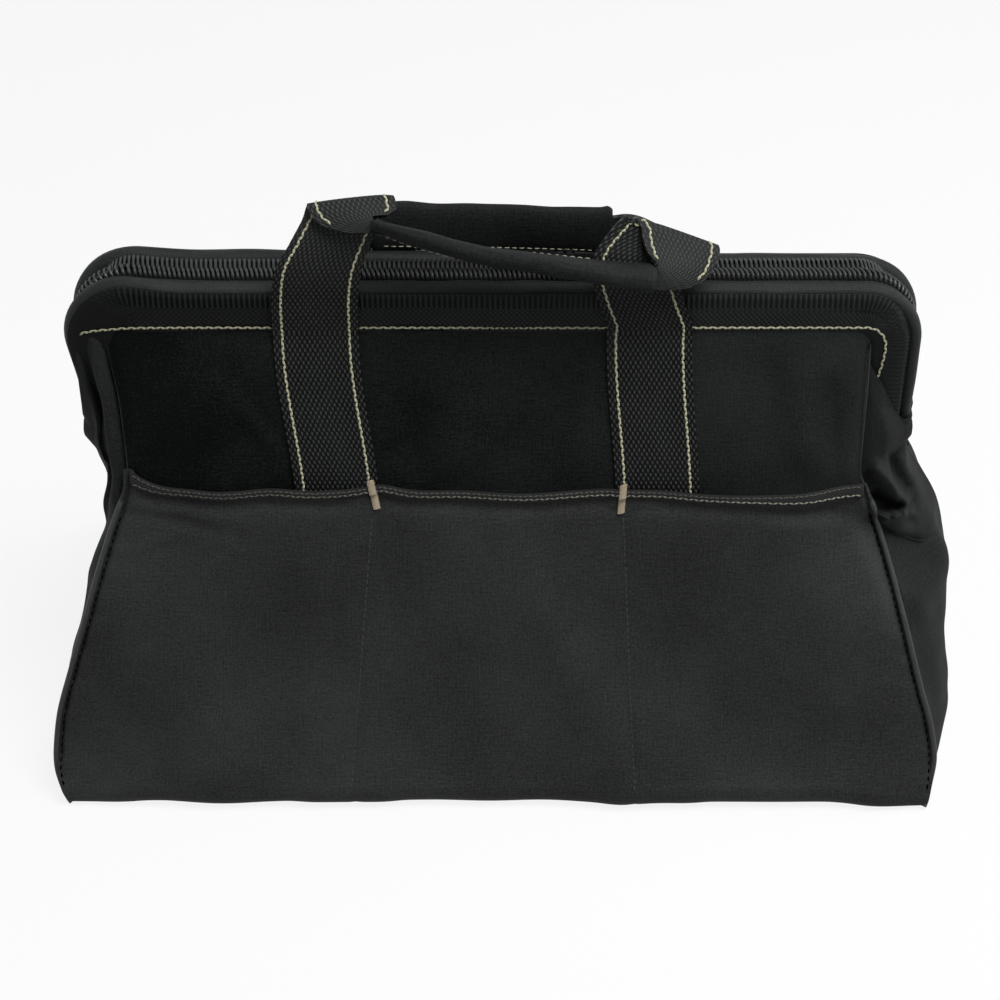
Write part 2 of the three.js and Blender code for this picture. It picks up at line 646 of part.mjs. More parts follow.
function buildHandle(side, turn, stations) {
  const handle = new THREE.Group();
  handle.rotation.z = turn;
  bag.add(handle);
  const frames = handleFrames(stations);
  add(handle, `${side}_handle_strap`, loft(frames.map(rectangleRing)), webbing);
  const held = frames.filter((frame) => frame.grip);
  const last = held.length - 1;
  const drawIn = 0.03;
  held[0].centre.lerp(held[1].centre, drawIn);
  held[last].centre.lerp(held[last - 1].centre, drawIn);
  const outer = held.map((frame) => chamferedRing(frame, GRIP_WIDTH, GRIP, GRIP_CHAMFER));
  const room = 2 * CLEARANCE;
  const inner = held.map((frame) => chamferedRing(frame, FOLDED_WIDTH + room, FOLDED + room, CLEARANCE / 2));
  add(handle, `${side}_grip`, hollowLoft(outer, inner), cloth);
}

// Zipper sliders and their pulls. A slider is built with its pull lying towards -X.
const sliderTopLow = coilTop + CLEARANCE;
const sliderTop = sliderTopLow + SLIDER_PLATE;
const sliderBottomTop = rodZ + ZIPPER_TAPE_RISE - ZIPPER_TAPE / 2 - CLEARANCE;
const pinZ = sliderTop + EAR_HEIGHT - PULL_PIN;

function sliderBody() {
  const bottomWidth = ZIPPER_GAP - 6 * CLEARANCE;
  const lipDrop = COIL_HEIGHT / 2;
  const postHigh = sliderTop - sliderBottomTop;
  let made = toSolid(box(SLIDER_LENGTH, SLIDER_WIDTH, SLIDER_PLATE, 0, 0, sliderTop - SLIDER_PLATE / 2));
  const bottomZ = sliderBottomTop - SLIDER_PLATE / 2;
  made = made.add(toSolid(box(SLIDER_LENGTH, bottomWidth, SLIDER_PLATE, 0, 0, bottomZ)));
  const postX = (SLIDER_LENGTH - SLIDER_POST_LENGTH) / 2;
  const postTall = postHigh + SLIDER_PLATE;
  made = made.add(toSolid(box(SLIDER_POST_LENGTH, SLIDER_POST, postTall, postX, 0, sliderTop - postTall / 2)));
  for (const side of [-1, 1]) {
    const lipY = side * (SLIDER_WIDTH - SLIDER_LIP) / 2;
    made = made.add(toSolid(box(SLIDER_LENGTH, SLIDER_LIP, lipDrop + SLIDER_PLATE, 0, lipY,
      sliderTop - (lipDrop + SLIDER_PLATE) / 2)));
    const earY = side * (EAR_GAP + EAR) / 2;
    const earTall = EAR_HEIGHT + SLIDER_PLATE;
    made = made.add(toSolid(box(EAR_LENGTH, EAR, earTall, 0, earY, sliderTop + EAR_HEIGHT - earTall / 2)));
  }
  made = made.add(toSolid(rodAlongY(PULL_PIN, EAR_GAP + EAR, 0, 0, pinZ)));
  return toGeometry(made);
}

function pullTab() {
  const neck = EAR_GAP - 2 * CLEARANCE;
  const shoulder = EAR_LENGTH;
  const outline = new THREE.Shape([
    new THREE.Vector2(0, -neck / 2),
    new THREE.Vector2(0, neck / 2),
    new THREE.Vector2(-shoulder, neck / 2),
    new THREE.Vector2(-shoulder - 2, PULL_WIDTH / 2),
    new THREE.Vector2(2 - PULL_LENGTH, PULL_WIDTH / 2),
    new THREE.Vector2(-PULL_LENGTH, PULL_WIDTH / 2 - 2),
    new THREE.Vector2(-PULL_LENGTH, 2 - PULL_WIDTH / 2),
    new THREE.Vector2(2 - PULL_LENGTH, -PULL_WIDTH / 2),
    new THREE.Vector2(-shoulder - 2, -PULL_WIDTH / 2),
    new THREE.Vector2(-shoulder, -neck / 2),
  ].reverse());
  const plate = new THREE.ExtrudeGeometry(outline, { depth: PULL, bevelEnabled: false });
  plate.translate(0, 0, pinZ - PULL / 2);
  let made = toSolid(plate).add(toSolid(rodAlongY(PULL_EYE, neck, 0, 0, pinZ)));
  made = made.subtract(toSolid(rodAlongY(PULL_PIN + 2 * CLEARANCE, 2 * neck, 0, 0, pinZ)));
  return toGeometry(made);
}

function buildSliders() {
  const apart = SLIDER_LENGTH / 2 + CLEARANCE;
  for (const [hand, sign] of [['left', -1], ['right', 1]]) {
    const slider = new THREE.Group();
    slider.position.set(SLIDERS_MEET + sign * apart, 0, 0);
    slider.rotation.z = sign < 0 ? 0 : Math.PI;
    bag.add(slider);
    add(slider, `${hand}_zipper_slider`, sliderBody(), blackMetal);
    add(slider, `${hand}_pull_tab`, pullTab(), blackMetal);
  }
}

buildBase();
buildWall('front', 0);
buildWall('back', Math.PI);
buildMouth('front', 0);
buildMouth('back', Math.PI);
buildHinges();
buildHandle('front', 0, slumpedHandle);
buildHandle('back', Math.PI, raisedHandle);
buildSliders();

export default bag;
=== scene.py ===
import math

import bpy
import numpy as np
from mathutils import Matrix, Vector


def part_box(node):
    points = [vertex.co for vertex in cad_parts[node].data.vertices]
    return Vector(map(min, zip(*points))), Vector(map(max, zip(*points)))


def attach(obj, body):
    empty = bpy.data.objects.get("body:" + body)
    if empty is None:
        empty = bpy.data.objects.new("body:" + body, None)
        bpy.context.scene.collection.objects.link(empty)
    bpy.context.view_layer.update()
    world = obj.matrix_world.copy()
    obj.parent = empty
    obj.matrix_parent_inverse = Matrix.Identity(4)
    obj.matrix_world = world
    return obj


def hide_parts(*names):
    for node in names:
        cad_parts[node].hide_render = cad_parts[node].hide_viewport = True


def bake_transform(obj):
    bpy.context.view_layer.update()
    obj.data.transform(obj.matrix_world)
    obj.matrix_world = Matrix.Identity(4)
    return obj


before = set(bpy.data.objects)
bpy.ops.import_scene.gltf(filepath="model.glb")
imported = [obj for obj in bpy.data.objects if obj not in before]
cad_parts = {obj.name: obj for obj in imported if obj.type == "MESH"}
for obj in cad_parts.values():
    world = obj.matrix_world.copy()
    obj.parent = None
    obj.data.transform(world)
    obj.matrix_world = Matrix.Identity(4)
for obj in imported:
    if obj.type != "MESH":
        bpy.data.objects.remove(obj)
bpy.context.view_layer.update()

# Bottom panel and stiffener: the bottom is one piece of coated polyester, cut with round corners and sewn to
# the walls all round, so its edge rolls up a little. A loose plastic board on it, inside, keeps it flat.
mm = 0.001
CLOTH = 1.2 * mm
BOTTOM_INSET = 1 * mm  # the walls roll under the bottom's edge by this much
BOTTOM_CORNER = 14 * mm
BOTTOM_LIFT = 0.3 * mm
SHARP = math.radians(50)


def new_piece(name, points, faces, finish, uv=None):
    mesh = bpy.data.meshes.new(name)
    mesh.from_pydata(np.asarray(points).tolist(), [], [list(map(int, face)) for face in faces])
    if uv is not None:
        corners = np.empty(len(mesh.loops), int)
        mesh.loops.foreach_get("vertex_index", corners)
        mesh.uv_layers.new(name="cut").data.foreach_set("uv", np.asarray(uv, float)[corners].ravel())
    mesh.polygons.foreach_set("use_smooth", [True] * len(mesh.polygons))
    mesh.set_sharp_from_angle(angle=SHARP)
    mesh.materials.append(finish)
    piece = bpy.data.objects.new(name, mesh)
    bpy.context.scene.collection.objects.link(piece)
    return piece


def cut_plan(outside):
    """How far each point lies along and up the flat cloth, in metres."""
    across = np.cumsum(np.linalg.norm(np.diff(outside, axis=1), axis=2), axis=1)
    up = np.cumsum(np.linalg.norm(np.diff(outside, axis=0), axis=2), axis=0)
    across = np.pad(across, ((0, 0), (1, 0)))
    middle = across[:, [across.shape[1] // 2]]
    return np.stack([across - middle, np.pad(up, ((1, 0), (0, 0)))], axis=2)


def panel(name, outside, thickness, finish, plan=None):
    """A sheet of cloth as a closed mesh; its outside faces the cross product of column and row steps."""
    rows, columns = outside.shape[:2]
    count = rows * columns
    normal = np.cross(np.gradient(outside, axis=1), np.gradient(outside, axis=0))
    normal /= np.linalg.norm(normal, axis=2, keepdims=True)
    inside = outside - thickness * normal
    grid = np.arange(count).reshape(rows, columns)
    front = np.stack([grid[:-1, :-1], grid[:-1, 1:], grid[1:, 1:], grid[1:, :-1]], axis=-1).reshape(-1, 4)
    rim = np.concatenate([grid[0, :-1], grid[:-1, -1], grid[-1, :0:-1], grid[:0:-1, 0]])
    onward = np.roll(rim, -1)
    edge = np.stack([rim + count, onward + count, onward, rim], axis=1)
    faces = np.concatenate([front, front[:, ::-1] + count, edge])
    points = np.concatenate([outside.reshape(-1, 3), inside.reshape(-1, 3)])
    plan = (cut_plan(outside) if plan is None else plan).reshape(-1, 2)
    return new_piece(name, points, faces, finish, np.concatenate([plan, plan]))


def new_finish(name):
    finish = bpy.data.materials.new(name)
    finish.use_nodes = True
    return finish


def add_node(finish, kind, inputs, **settings):
    made = finish.node_tree.nodes.new(kind)
    for key, value in settings.items():
        setattr(made, key, value)
    for socket, value in inputs.items():
        if isinstance(value, bpy.types.NodeSocket):
            finish.node_tree.links.new(value, made.inputs[socket])
        else:
            made.inputs[socket].default_value = value
    return made


def reckon(finish, operation, *values):
    """One step of arithmetic on sockets and numbers."""
    return add_node(finish, "ShaderNodeMath", dict(enumerate(values)), operation=operation).outputs[0]


def ramp_up(finish, value, low, high):
    """0 to 1 as a socket's value goes from low to high."""
    inputs = {"Value": value, "From Min": low, "From Max": high}
    return add_node(finish, "ShaderNodeMapRange", inputs).outputs[0]


def noise(finish, place, scale, detail):
    inputs = {"Vector": place, "Scale": scale, "Detail": detail}
    return add_node(finish, "ShaderNodeTexNoise", inputs).outputs["Fac"]


def sum_of(finish, parts):
    """A weighted sum of sockets: parts are (socket, weight)."""
    total = None
    for socket, weight in parts:
        scaled = reckon(finish, "MULTIPLY", socket, weight)
        total = scaled if total is None else reckon(finish, "ADD", total, scaled)
    return total


def finished(finish, tone, dark, light, height, depth, roughness, gloss):
    """Colour that goes from dark to light with a tone from 0 to 1, on a relief of that height and depth."""
    shader = finish.node_tree.nodes["Principled BSDF"]
    ramp = add_node(finish, "ShaderNodeValToRGB", {"Fac": tone})
    ramp.color_ramp.elements[0].color = (*dark, 1)
    ramp.color_ramp.elements[1].color = (*light, 1)
    bump = add_node(finish, "ShaderNodeBump", {"Height": height, "Distance": depth})
    finish.node_tree.links.new(ramp.outputs["Color"], shader.inputs["Base Color"])
    finish.node_tree.links.new(bump.outputs["Normal"], shader.inputs["Normal"])
    shader.inputs["Roughness"].default_value = roughness
    shader.inputs["Specular IOR Level"].default_value = gloss
    return finish


BAND_PERIOD = 0.314159  # a wave texture of scale 1 repeats after this length


def waves(finish, plan, direction, period):
    settings = {"wave_type": "BANDS", "bands_direction": direction, "wave_profile": "SIN"}
    return add_node(finish, "ShaderNodeTexWave", {"Vector": plan, "Scale": BAND_PERIOD / period},
                    **settings).outputs["Fac"]


def mottle(finish, plan, features, detail=2.0):
    """Noise on the flat cloth, with that many features in a metre each way."""
    inputs = {"Vector": plan, "Scale": (*features, 1)}
    return noise(finish, add_node(finish, "ShaderNodeMapping", inputs).outputs["Vector"], 1.0, detail)


def woven_cloth(name, dark, light, thread=0.62 * mm, roughness=0.72, gloss=0.14, painted_side_light=0.0):
    """Plain weave with slubs, flecks and patches of wear; the last argument is painted light, lighter per
    metre to the right.
    """
    finish = new_finish(name)
    plan = add_node(finish, "ShaderNodeUVMap", {}).outputs["UV"]
    weave = reckon(finish, "MULTIPLY", waves(finish, plan, "X", thread), waves(finish, plan, "Y", thread))
    weft_slubs = mottle(finish, plan, (110, 1400))
    warp_slubs = mottle(finish, plan, (1400, 110))
    patches = mottle(finish, plan, (13, 13), 3.0)
    flecks = mottle(finish, plan, (850, 900))
    sideways = add_node(finish, "ShaderNodeSeparateXYZ", {"Vector": plan}).outputs["X"]
    tone = sum_of(finish, [(patches, 0.6), (flecks, 0.6), (weft_slubs, 0.28), (warp_slubs, 0.22),
                           (weave, 0.16), (sideways, painted_side_light)])
    tone = ramp_up(finish, tone, 0.69, 1.15)
    height = sum_of(finish, [(weave, 0.5), (weft_slubs, 0.6), (warp_slubs, 0.4), (flecks, 0.5)])
    return finished(finish, tone, dark, light, height, 0.2 * mm, roughness, gloss)


def moulded_plastic(name, dark, light, roughness, gloss=0.5):
    finish = new_finish(name)
    place = add_node(finish, "ShaderNodeTexCoord", {}).outputs["Object"]
    grain = noise(finish, place, 700.0, 3.0)
    tone = sum_of(finish, [(grain, 0.4), (noise(finish, place, 30.0, 4.0), 0.6)])
    return finished(finish, tone, dark, light, grain, 0.08 * mm, roughness, gloss)


def dress(endings, finish):
    """Give a finish to the CAD nodes whose names end so."""
    for name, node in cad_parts.items():
        if name.endswith(endings):
            node.data.materials.clear()
            node.data.materials.append(finish)


body_cloth = woven_cloth("black_polyester", (0.0050, 0.0056, 0.0049), (0.0335, 0.0366, 0.0340))

base_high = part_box("bottom_panel")[1]
corner_reach = np.array([base_high.x, base_high.y]) - BOTTOM_INSET - BOTTOM_CORNER
quarter = np.linspace(0, math.pi / 2, 9)
outline = []
for turn, signs in enumerate([(1, 1), (-1, 1), (-1, -1), (1, -1)]):
    angles = quarter + turn * math.pi / 2
    outline.append(corner_reach * signs + BOTTOM_CORNER * np.stack([np.cos(angles), np.sin(angles)], axis=1))
outline = np.concatenate(outline + [outline[0][:1]])
shares = np.linspace(0.02, 1, 24)[:, None, None]
bottom = np.concatenate([shares * outline[None], np.full((24, len(outline), 1), BOTTOM_LIFT)], axis=2)
bottom[..., 2] += 1.0 * mm * shares[..., 0] ** 20
bottom_plan = bottom[..., :2]
bottom_panel = panel("bottom_panel_cloth", bottom[:, ::-1], -CLOTH, body_cloth, bottom_plan[:, ::-1])
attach(bottom_panel, "bag_body")
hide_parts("bottom_panel")
bottom_size = 2 * outline.max(axis=0)
bottom_area = bottom_size.prod() - (4 - math.pi) * BOTTOM_CORNER ** 2

dress("base_board", moulded_plastic("black_board", (0.030, 0.030, 0.029), (0.048, 0.047, 0.045), 0.6))

# Front and back walls: each is one piece of the same polyester from the bottom to the rim, leaning in as it
# rises. Below the pocket's hem it is hidden. Above, it hangs in soft folds from the rim tape, to which it is
# sewn.
FOOT_Y = 95.8 * mm  # outside of the wall at the floor, from the middle of the bag
HEAD_Y = 17.3 * mm  # and where it goes under the rim tape
HEAD_Z = 205.2 * mm
HEM_Z = 138 * mm
WALL_TOP_Z = 209 * mm
# The wall's side edges as the bag has slumped: height, and distance from the middle.
LEFT_EDGE = np.array([(0, 193.5), (4, 197.7), (12, 201.2), (21, 201.6), (40, 199), (60, 192.6), (80, 185.7),
                      (100, 179), (118, 172.5), (136, 165.5), (146, 164.2), (161, 165), (177, 166.5),
                      (191, 169), (210, 172)]) * mm
RIGHT_EDGE = np.array([(0, 194), (5, 196.8), (16, 198.6), (25, 198.4), (38, 195.7), (57, 189.5), (101, 176.5),
                       (129, 166.5), (138, 163), (146, 160.6), (161, 161), (185, 162), (210, 162.5)]) * mm
STRAP_X = 71 * mm
FOOT_SPREAD = 9 * mm  # the foot is pushed out by what is in the bag
CORNER_SPREAD = 3 * mm  # and a little more at its right corner
FOOT_REACH = 38 * mm
LEAN = math.atan2(FOOT_Y - HEAD_Y, HEAD_Z)
SLANT_HEM = HEM_Z / math.cos(LEAN)
SLANT_TOP = WALL_TOP_Z / math.cos(LEAN)
UP_WALL = np.array([0, math.sin(LEAN), math.cos(LEAN)])
OFF_WALL = np.array([0, -math.cos(LEAN), math.sin(LEAN)])
# Creases: height, place along and up the wall, width, length and heading, in millimetres and radians.
WALL_CREASES = [(3.0, -104, 174, 4, 20, 0.7), (-2.4, -97, 170, 5, 20, 0.7), (2.6, -132, 182, 9, 34, -0.1),
                (2.4, 36, 180, 8, 30, -0.15), (-2.2, 118, 194, 6, 20, -0.15), (2.6, 134, 178, 8, 32, 0.12),
                (-2.0, 147, 176, 5, 24, 0.1), (-2.0, -40, 176, 9, 26, 0.2)]

# Painted shade and light: the walls get a darker copy of the polyester for the shade under the rim, and
# painted light growing to the right.
painted_shade_wall_cloth = woven_cloth("black_polyester_wall_painted_shade", (0.0004, 0.0006, 0.0005), (0.0175, 0.0200, 0.0197),
                         gloss=0.05, painted_side_light=1.1)


def wall_point(x, s, n):
    """A point of the front wall: x along it, s up its slope from the floor, n out of it."""
    x, s, n = np.broadcast_arrays(x, s, n)
    along = x[..., None] * np.array([1.0, 0, 0])
    spread = FOOT_SPREAD + CORNER_SPREAD * smooth_step(x, 150 * mm, 195 * mm)
    foot = (FOOT_Y + spread * np.exp(-s / FOOT_REACH))[..., None] * np.array([0, -1.0, 0])
    return along + foot + s[..., None] * UP_WALL + (n - drawn_in(x, s))[..., None] * OFF_WALL


def smooth_step(value, low, high):
    t = np.clip((value - low) / (high - low), 0, 1)
    return t * t * (3 - 2 * t)


def between(value, low, full, falling, high):
    """0 below low, 1 from full to falling, and 0 again above high."""
    return smooth_step(value, low, full) * (1 - smooth_step(value, falling, high))


def bell(value, reach, power=2):
    """1 where the value is 0, falling off within reach on both sides."""
    return np.exp(-(value / reach) ** power)


def smooth_line(points, count):
    """A smooth curve through points, as count rows."""
    points = np.asarray(points, float)
    padded = np.concatenate([2 * points[:1] - points[1:2], points, 2 * points[-1:] - points[-2:-1]])
    at = np.linspace(0, len(points) - 1, count)
    k = np.minimum(at.astype(int), len(points) - 2)
    t = (at - k)[:, None]
    a, b, c, d = (padded[k + i] for i in range(4))
    curved = (2 * a - 5 * b + 4 * c - d) * t ** 2 + (3 * b - a - 3 * c + d) * t ** 3
    return 0.5 * (2 * b + (c - a) * t + curved)


def side_edge(sign, s):
    """x of the wall's left (-1) or right (1) edge, up the slope."""
    height, reach = smooth_line(LEFT_EDGE if sign < 0 else RIGHT_EDGE, 200).T
    return sign * np.interp(s * math.cos(LEAN), height, reach)


def from_edge(x, s):
    """How far a point of the wall is from the nearer side edge."""
    return np.where(x < 0, x - side_edge(-1, s), side_edge(1, s) - x)


def drawn_in(x, s):
    """The right side seam pulls the cloth in, most just below the hem."""
    below_hem = between(s - SLANT_HEM, -80 * mm, -20 * mm, -16 * mm, -7 * mm)
    reach = 5 * mm + 5 * mm * smooth_step(s, SLANT_HEM - 50 * mm, SLANT_HEM - 8 * mm)
    return 10 * mm * below_hem * bell(np.maximum(side_edge(1, s) - x, 0), reach)


def ripples(x, y, length, seed, count=7):
    """Smooth ups and downs of about that wavelength, between -1.5 and 1.5."""
    draw = np.random.default_rng(seed)
    total = 0
    for _ in range(count):
        heading = draw.uniform(0, 2 * math.pi)
        pace = 2 * math.pi / (length * draw.uniform(0.7, 1.5))
        start = draw.uniform(0, 2 * math.pi)
        total = total + np.sin(pace * (x * math.cos(heading) + y * math.sin(heading)) + start)
    return total / math.sqrt(count)


def dent(x, s, middle, across, along, turn=0.0):
    """A smooth round or long hollow, 1 deep in its middle."""
    dx = x - middle[0]
    ds = s - middle[1]
    p = dx * math.cos(turn) + ds * math.sin(turn)
    q = ds * math.cos(turn) - dx * math.sin(turn)
    return np.exp(-(p / across) ** 2 - (q / along) ** 2)


def all_dents(x, s, creases):
    return sum(height * mm * dent(x, s, (at_x * mm, at_s * mm), wide * mm, long * mm, turn)
               for height, at_x, at_s, wide, long, turn in creases)


def seam_turn(x, s):
    """How far the cloth turns in where it is sewn to an end panel."""
    return 2.4 * mm * bell(np.maximum(from_edge(x, s), 0), 3.2 * mm)


def at_strap(x, half):
    """1 behind the straps, within that half width of their middles, else 0."""
    return bell(np.abs(x) - STRAP_X, half, 6)


def closer_at_ends(count, share):
    """Numbers from 0 to 1 whose steps are smaller, by that share, at both ends."""
    even = np.linspace(0, 1, count)[None, :]
    return even - share / (2 * math.pi) * np.sin(2 * math.pi * even)


def wall_folds(x, s, seed):
    free = smooth_step(s, SLANT_HEM - 2 * mm, SLANT_HEM + 22 * mm)
    free = free * (1 - smooth_step(s, SLANT_TOP - 26 * mm, SLANT_TOP - 6 * mm)) * (1 - at_strap(x, 28 * mm))
    soft = 2.2 * mm * ripples(x, 0.35 * s, 70 * mm, seed) + 0.9 * mm * ripples(x, 0.7 * s, 30 * mm, seed + 1)
    return free * (soft + all_dents(x, s, WALL_CREASES)) * smooth_step(from_edge(x, s), 0, 14 * mm)


# The back is the front, turned half round.
SIDES = {"front": np.array([1, 1, 1]), "back": np.array([-1, -1, 1])}


def bend_with_mouth(piece):
    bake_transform(piece)


for side, seed in (("front", 3), ("back", 11)):
    u = closer_at_ends(181, 0.55)
    s = np.linspace(14 * mm, SLANT_TOP, 96)[:, None]
    left = side_edge(-1, s)
    right = side_edge(1, s)
    x = left + (right - left) * u
    outside = wall_point(x, s, wall_folds(x, s, seed) - seam_turn(x, s)) * SIDES[side]
    wall = panel(f"{side}_wall", outside, CLOTH, painted_shade_wall_cloth)
    bend_with_mouth(wall)
    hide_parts(f"{side}_lower_panel", f"{side}_upper_panel")

# Pockets: a second piece of polyester over the lower wall, sewn in at the bottom and in both side seams. Two
# stitched dividers split it into three, each ending in a tan bartack at the hem. The hem is bound with a
# folded strip of tape.
DIVIDER_X = 55 * mm
LEFT_FLARE = 13 * mm  # the dividers run out towards the foot
RIGHT_FLARE = 8 * mm
ROLL = 9 * mm  # radius of the bottom edge
POCKET_SLACK = 4.5 * mm
STRAP_BUMP = 2.6 * mm
HEM_BAND = 3.8 * mm
HEM_THICK = 3.0 * mm
HEM_PROUD = 1.3 * mm
# The pocket's edge rises and dips: place along it, height and reach, in millimetres.
HEM_WAVES = [(-168, 9.5, 13), (-124, -1.0, 16), (-100, 1.4, 14), (-52, 2.2, 10), (98, -1.2, 22),
             (166, 2.2, 22)]
POCKET_CREASES = [(1.3, -140, 139, 22, 2.4, -0.12), (-1.2, -137, 133, 24, 3, -0.2),
                  (0.9, -148, 126, 14, 3, 0.3), (2.0, 30, 76, 9, 62, 0.42), (-1.0, 10, 70, 12, 56, 0.42)]
# Stitches: their pitch, length and radius, and how far each is turned.
HEM_STITCH = (2.3 * mm, 2.3 * mm, 0.36 * mm, 0.3)
HEM_EDGE_STITCH = (2.3 * mm, 2.1 * mm, 0.3 * mm, 0.2)
DIVIDER_STITCH = (3.2 * mm, 2.3 * mm, 0.28 * mm, 0.0)
TACK_LENGTH = 13.4 * mm
TACK_ABOVE = 2.6 * mm  # it starts above the hem
TACK_STITCH = (3.4 * mm, 0.45 * mm)  # only length and radius
TACK_WAY = np.array([1.0, 0.12, 0.2])  # its stitches lie across it, a little aslant


def near_right(x):
    """0 in the middle of the pocket, 1 at its right end."""
    return smooth_step(x, 95 * mm, 160 * mm)


def hem_slope(x):
    """How far up the slope the pocket's edge is."""
    waviness = sum(rise * mm * bell(x - at * mm, reach * mm) for at, rise, reach in HEM_WAVES)
    return SLANT_HEM + 1.8 * mm + waviness


def hem_height(x):
    """The binding is wider at both ends, where it opens out."""
    return HEM_BAND + 3.0 * mm * bell(x + 168 * mm, 14 * mm) + 2.2 * mm * near_right(x)


def pocket_stand(x, s):
    """How far the outside of the pocket stands off the wall."""
    inset = from_edge(x, s)
    over_strap = STRAP_BUMP * np.clip(inset / (40 * mm), 0, 1) * (0.6 + 0.4 * at_strap(x, 23 * mm))
    t = np.clip(s / SLANT_HEM, 0, 1.05)
    left_divider = DIVIDER_X + LEFT_FLARE * (1 - t)
    right_divider = DIVIDER_X + RIGHT_FLARE * (1 - t)
    beyond = np.where(x < 0, -x - left_divider, x - right_divider)
    span = np.where(beyond < 0, right_divider + left_divider, inset + beyond)
    puff = np.sin(np.pi * np.clip(np.where(beyond < 0, x + left_divider, beyond) / span, 0, 1))
    slack = POCKET_SLACK * puff * t ** 2
    at_foot = (2.4 * mm + 1.8 * mm * smooth_step(x, 20 * mm, 130 * mm)) * np.exp(-s / (42 * mm))
    at_foot = at_foot * smooth_step(inset, 0, 30 * mm)
    groove = 1.9 * mm * bell(beyond, 1.9 * mm) * (0.15 + 0.85 * smooth_step(s, 6 * mm, 40 * mm))
    under_band = hem_slope(x) - hem_height(x) - 2.6 * mm - 2.5 * mm * near_right(x)
    tuck = (2.2 * mm + 2.6 * mm * near_right(x)) * bell(s - under_band, 3.8 * mm)
    tuck = tuck * smooth_step(inset, 0, 14 * mm)
    at_seam = 2.5 * mm * bell(inset - 0.7 * mm, 1.3 * mm) * smooth_step(s, 12 * mm, 28 * mm)
    return CLOTH + 0.8 * mm - at_seam + over_strap + slack + at_foot - groove - tuck


def pocket_folds(x, s, seed):
    inset = from_edge(x, s)
    calm = smooth_step(s, 0, 22 * mm) * smooth_step(inset, 0, 30 * mm)
    soft = 2.3 * mm * ripples(x, 0.6 * s, 110 * mm, seed) + 1.2 * mm * ripples(x, 0.5 * s, 46 * mm, seed + 1)
    puckers = 0.5 * mm * np.sin(s / (2.1 * mm) + 2 * ripples(x, s, 60 * mm, seed + 2))
    puckers = puckers * np.exp(-inset / (7 * mm)) * smooth_step(s, 4 * mm, 14 * mm)
    return calm * soft + puckers + all_dents(x, s, POCKET_CREASES)


def pocket_surface(x, s, seed):
    """The pocket's stand with its folds, kept outside the wall and the straps."""
    least = CLOTH + 0.2 * mm + 2.5 * mm * at_strap(x, 23 * mm) - seam_turn(x, s)
    return np.maximum(pocket_stand(x, s) + pocket_folds(x, s, seed), least)


def ribbed_band(name, dark, light, rib, row, ribs_from, painted_side_light=0.0):
    """Narrow woven tape: staggered dots, plain ribs above a height across it, and no weave far below it."""
    finish = new_finish(name)
    plan = add_node(finish, "ShaderNodeUVMap", {}).outputs["UV"]
    sideways, height, _ = add_node(finish, "ShaderNodeSeparateXYZ", {"Vector": plan}).outputs
    ribs = waves(finish, plan, "X", rib)
    dots = reckon(finish, "ABSOLUTE", reckon(finish, "SUBTRACT", ribs, waves(finish, plan, "Y", row)))
    ribbed = ramp_up(finish, height, ribs_from - 0.6 * mm, ribs_from + 0.6 * mm)
    weave = add_node(finish, "ShaderNodeMix", {"Factor": ribbed, "A": dots, "B": ribs}).outputs["Result"]
    weave = reckon(finish, "MULTIPLY", weave, ramp_up(finish, height, -36 * mm, -24 * mm))
    fuzz = mottle(finish, plan, (900, 900))
    wear = mottle(finish, plan, (30, 60), 4.0)
    # painted light: the last weight makes the tape lighter towards its right, where the light falls
    tone = sum_of(finish, [(weave, 0.7), (fuzz, 0.3), (wear, 0.35), (sideways, painted_side_light)])
    knotted = sum_of(finish, [(weave, 0.8), (fuzz, 0.4)])
    return finished(finish, ramp_up(finish, tone, 0.43, 1.12), dark, light, knotted, 0.25 * mm, 0.7, 0.12)


def thread_finish(name, dark, light, gloss=0.3, painted_side_light=0.0):
    """Twisted thread with some soil on it; the last argument is painted light, lighter per metre to the
    right.
    """
    finish = new_finish(name)
    place = add_node(finish, "ShaderNodeTexCoord", {}).outputs["Object"]
    plies = noise(finish, place, 2600.0, 2.0)
    soil = noise(finish, place, 55.0, 3.0)
    sideways = add_node(finish, "ShaderNodeSeparateXYZ", {"Vector": place}).outputs["X"]
    tone = sum_of(finish, [(plies, 0.5), (soil, 0.5), (sideways, painted_side_light)])
    return finished(finish, tone, dark, light, plies, 0.1 * mm, 0.6, gloss)


def length_along(path):
    """How far along a path each of its points is."""
    return np.append(0, np.linalg.norm(np.diff(path, axis=0), axis=1).cumsum())


def ring_faces(rings, sides):
    """Faces of a tube made of rings, closed at both ends."""
    grid = np.arange(rings * sides).reshape(rings, sides)
    onward = np.roll(grid, -1, axis=1)
    around = np.stack([grid[:-1], onward[:-1], onward[1:], grid[1:]], axis=-1).reshape(-1, 4).tolist()
    return around + [grid[0, ::-1].tolist(), grid[-1].tolist()]


def swept(name, centres, first, second, section, finish, to_side):
    """A solid swept along centres: each ring is centre + a * first + b * second over the section's (a, b)."""
    first, second = (np.broadcast_to(way, centres.shape)[:, None] for way in (first, second))
    rings = (centres[:, None] + section[..., :1] * first + section[..., 1:] * second) * to_side
    plan = np.stack(np.meshgrid(length_along(section[0]), length_along(centres)), axis=-1).reshape(-1, 2)
    return new_piece(name, rings.reshape(-1, 3), ring_faces(*section.shape[:2]), finish, plan[:, ::-1])


def round_section(radius_a, radius_b, count, power=2.0):
    """An ellipse, or with a higher power a rounded rectangle, counter-clockwise."""
    angle = np.arange(count) * 2 * math.pi / count
    a = np.sign(np.cos(angle)) * np.abs(np.cos(angle)) ** (2 / power)
    b = np.sign(np.sin(angle)) * np.abs(np.sin(angle)) ** (2 / power)
    return np.stack([radius_a * a, radius_b * b], axis=1)


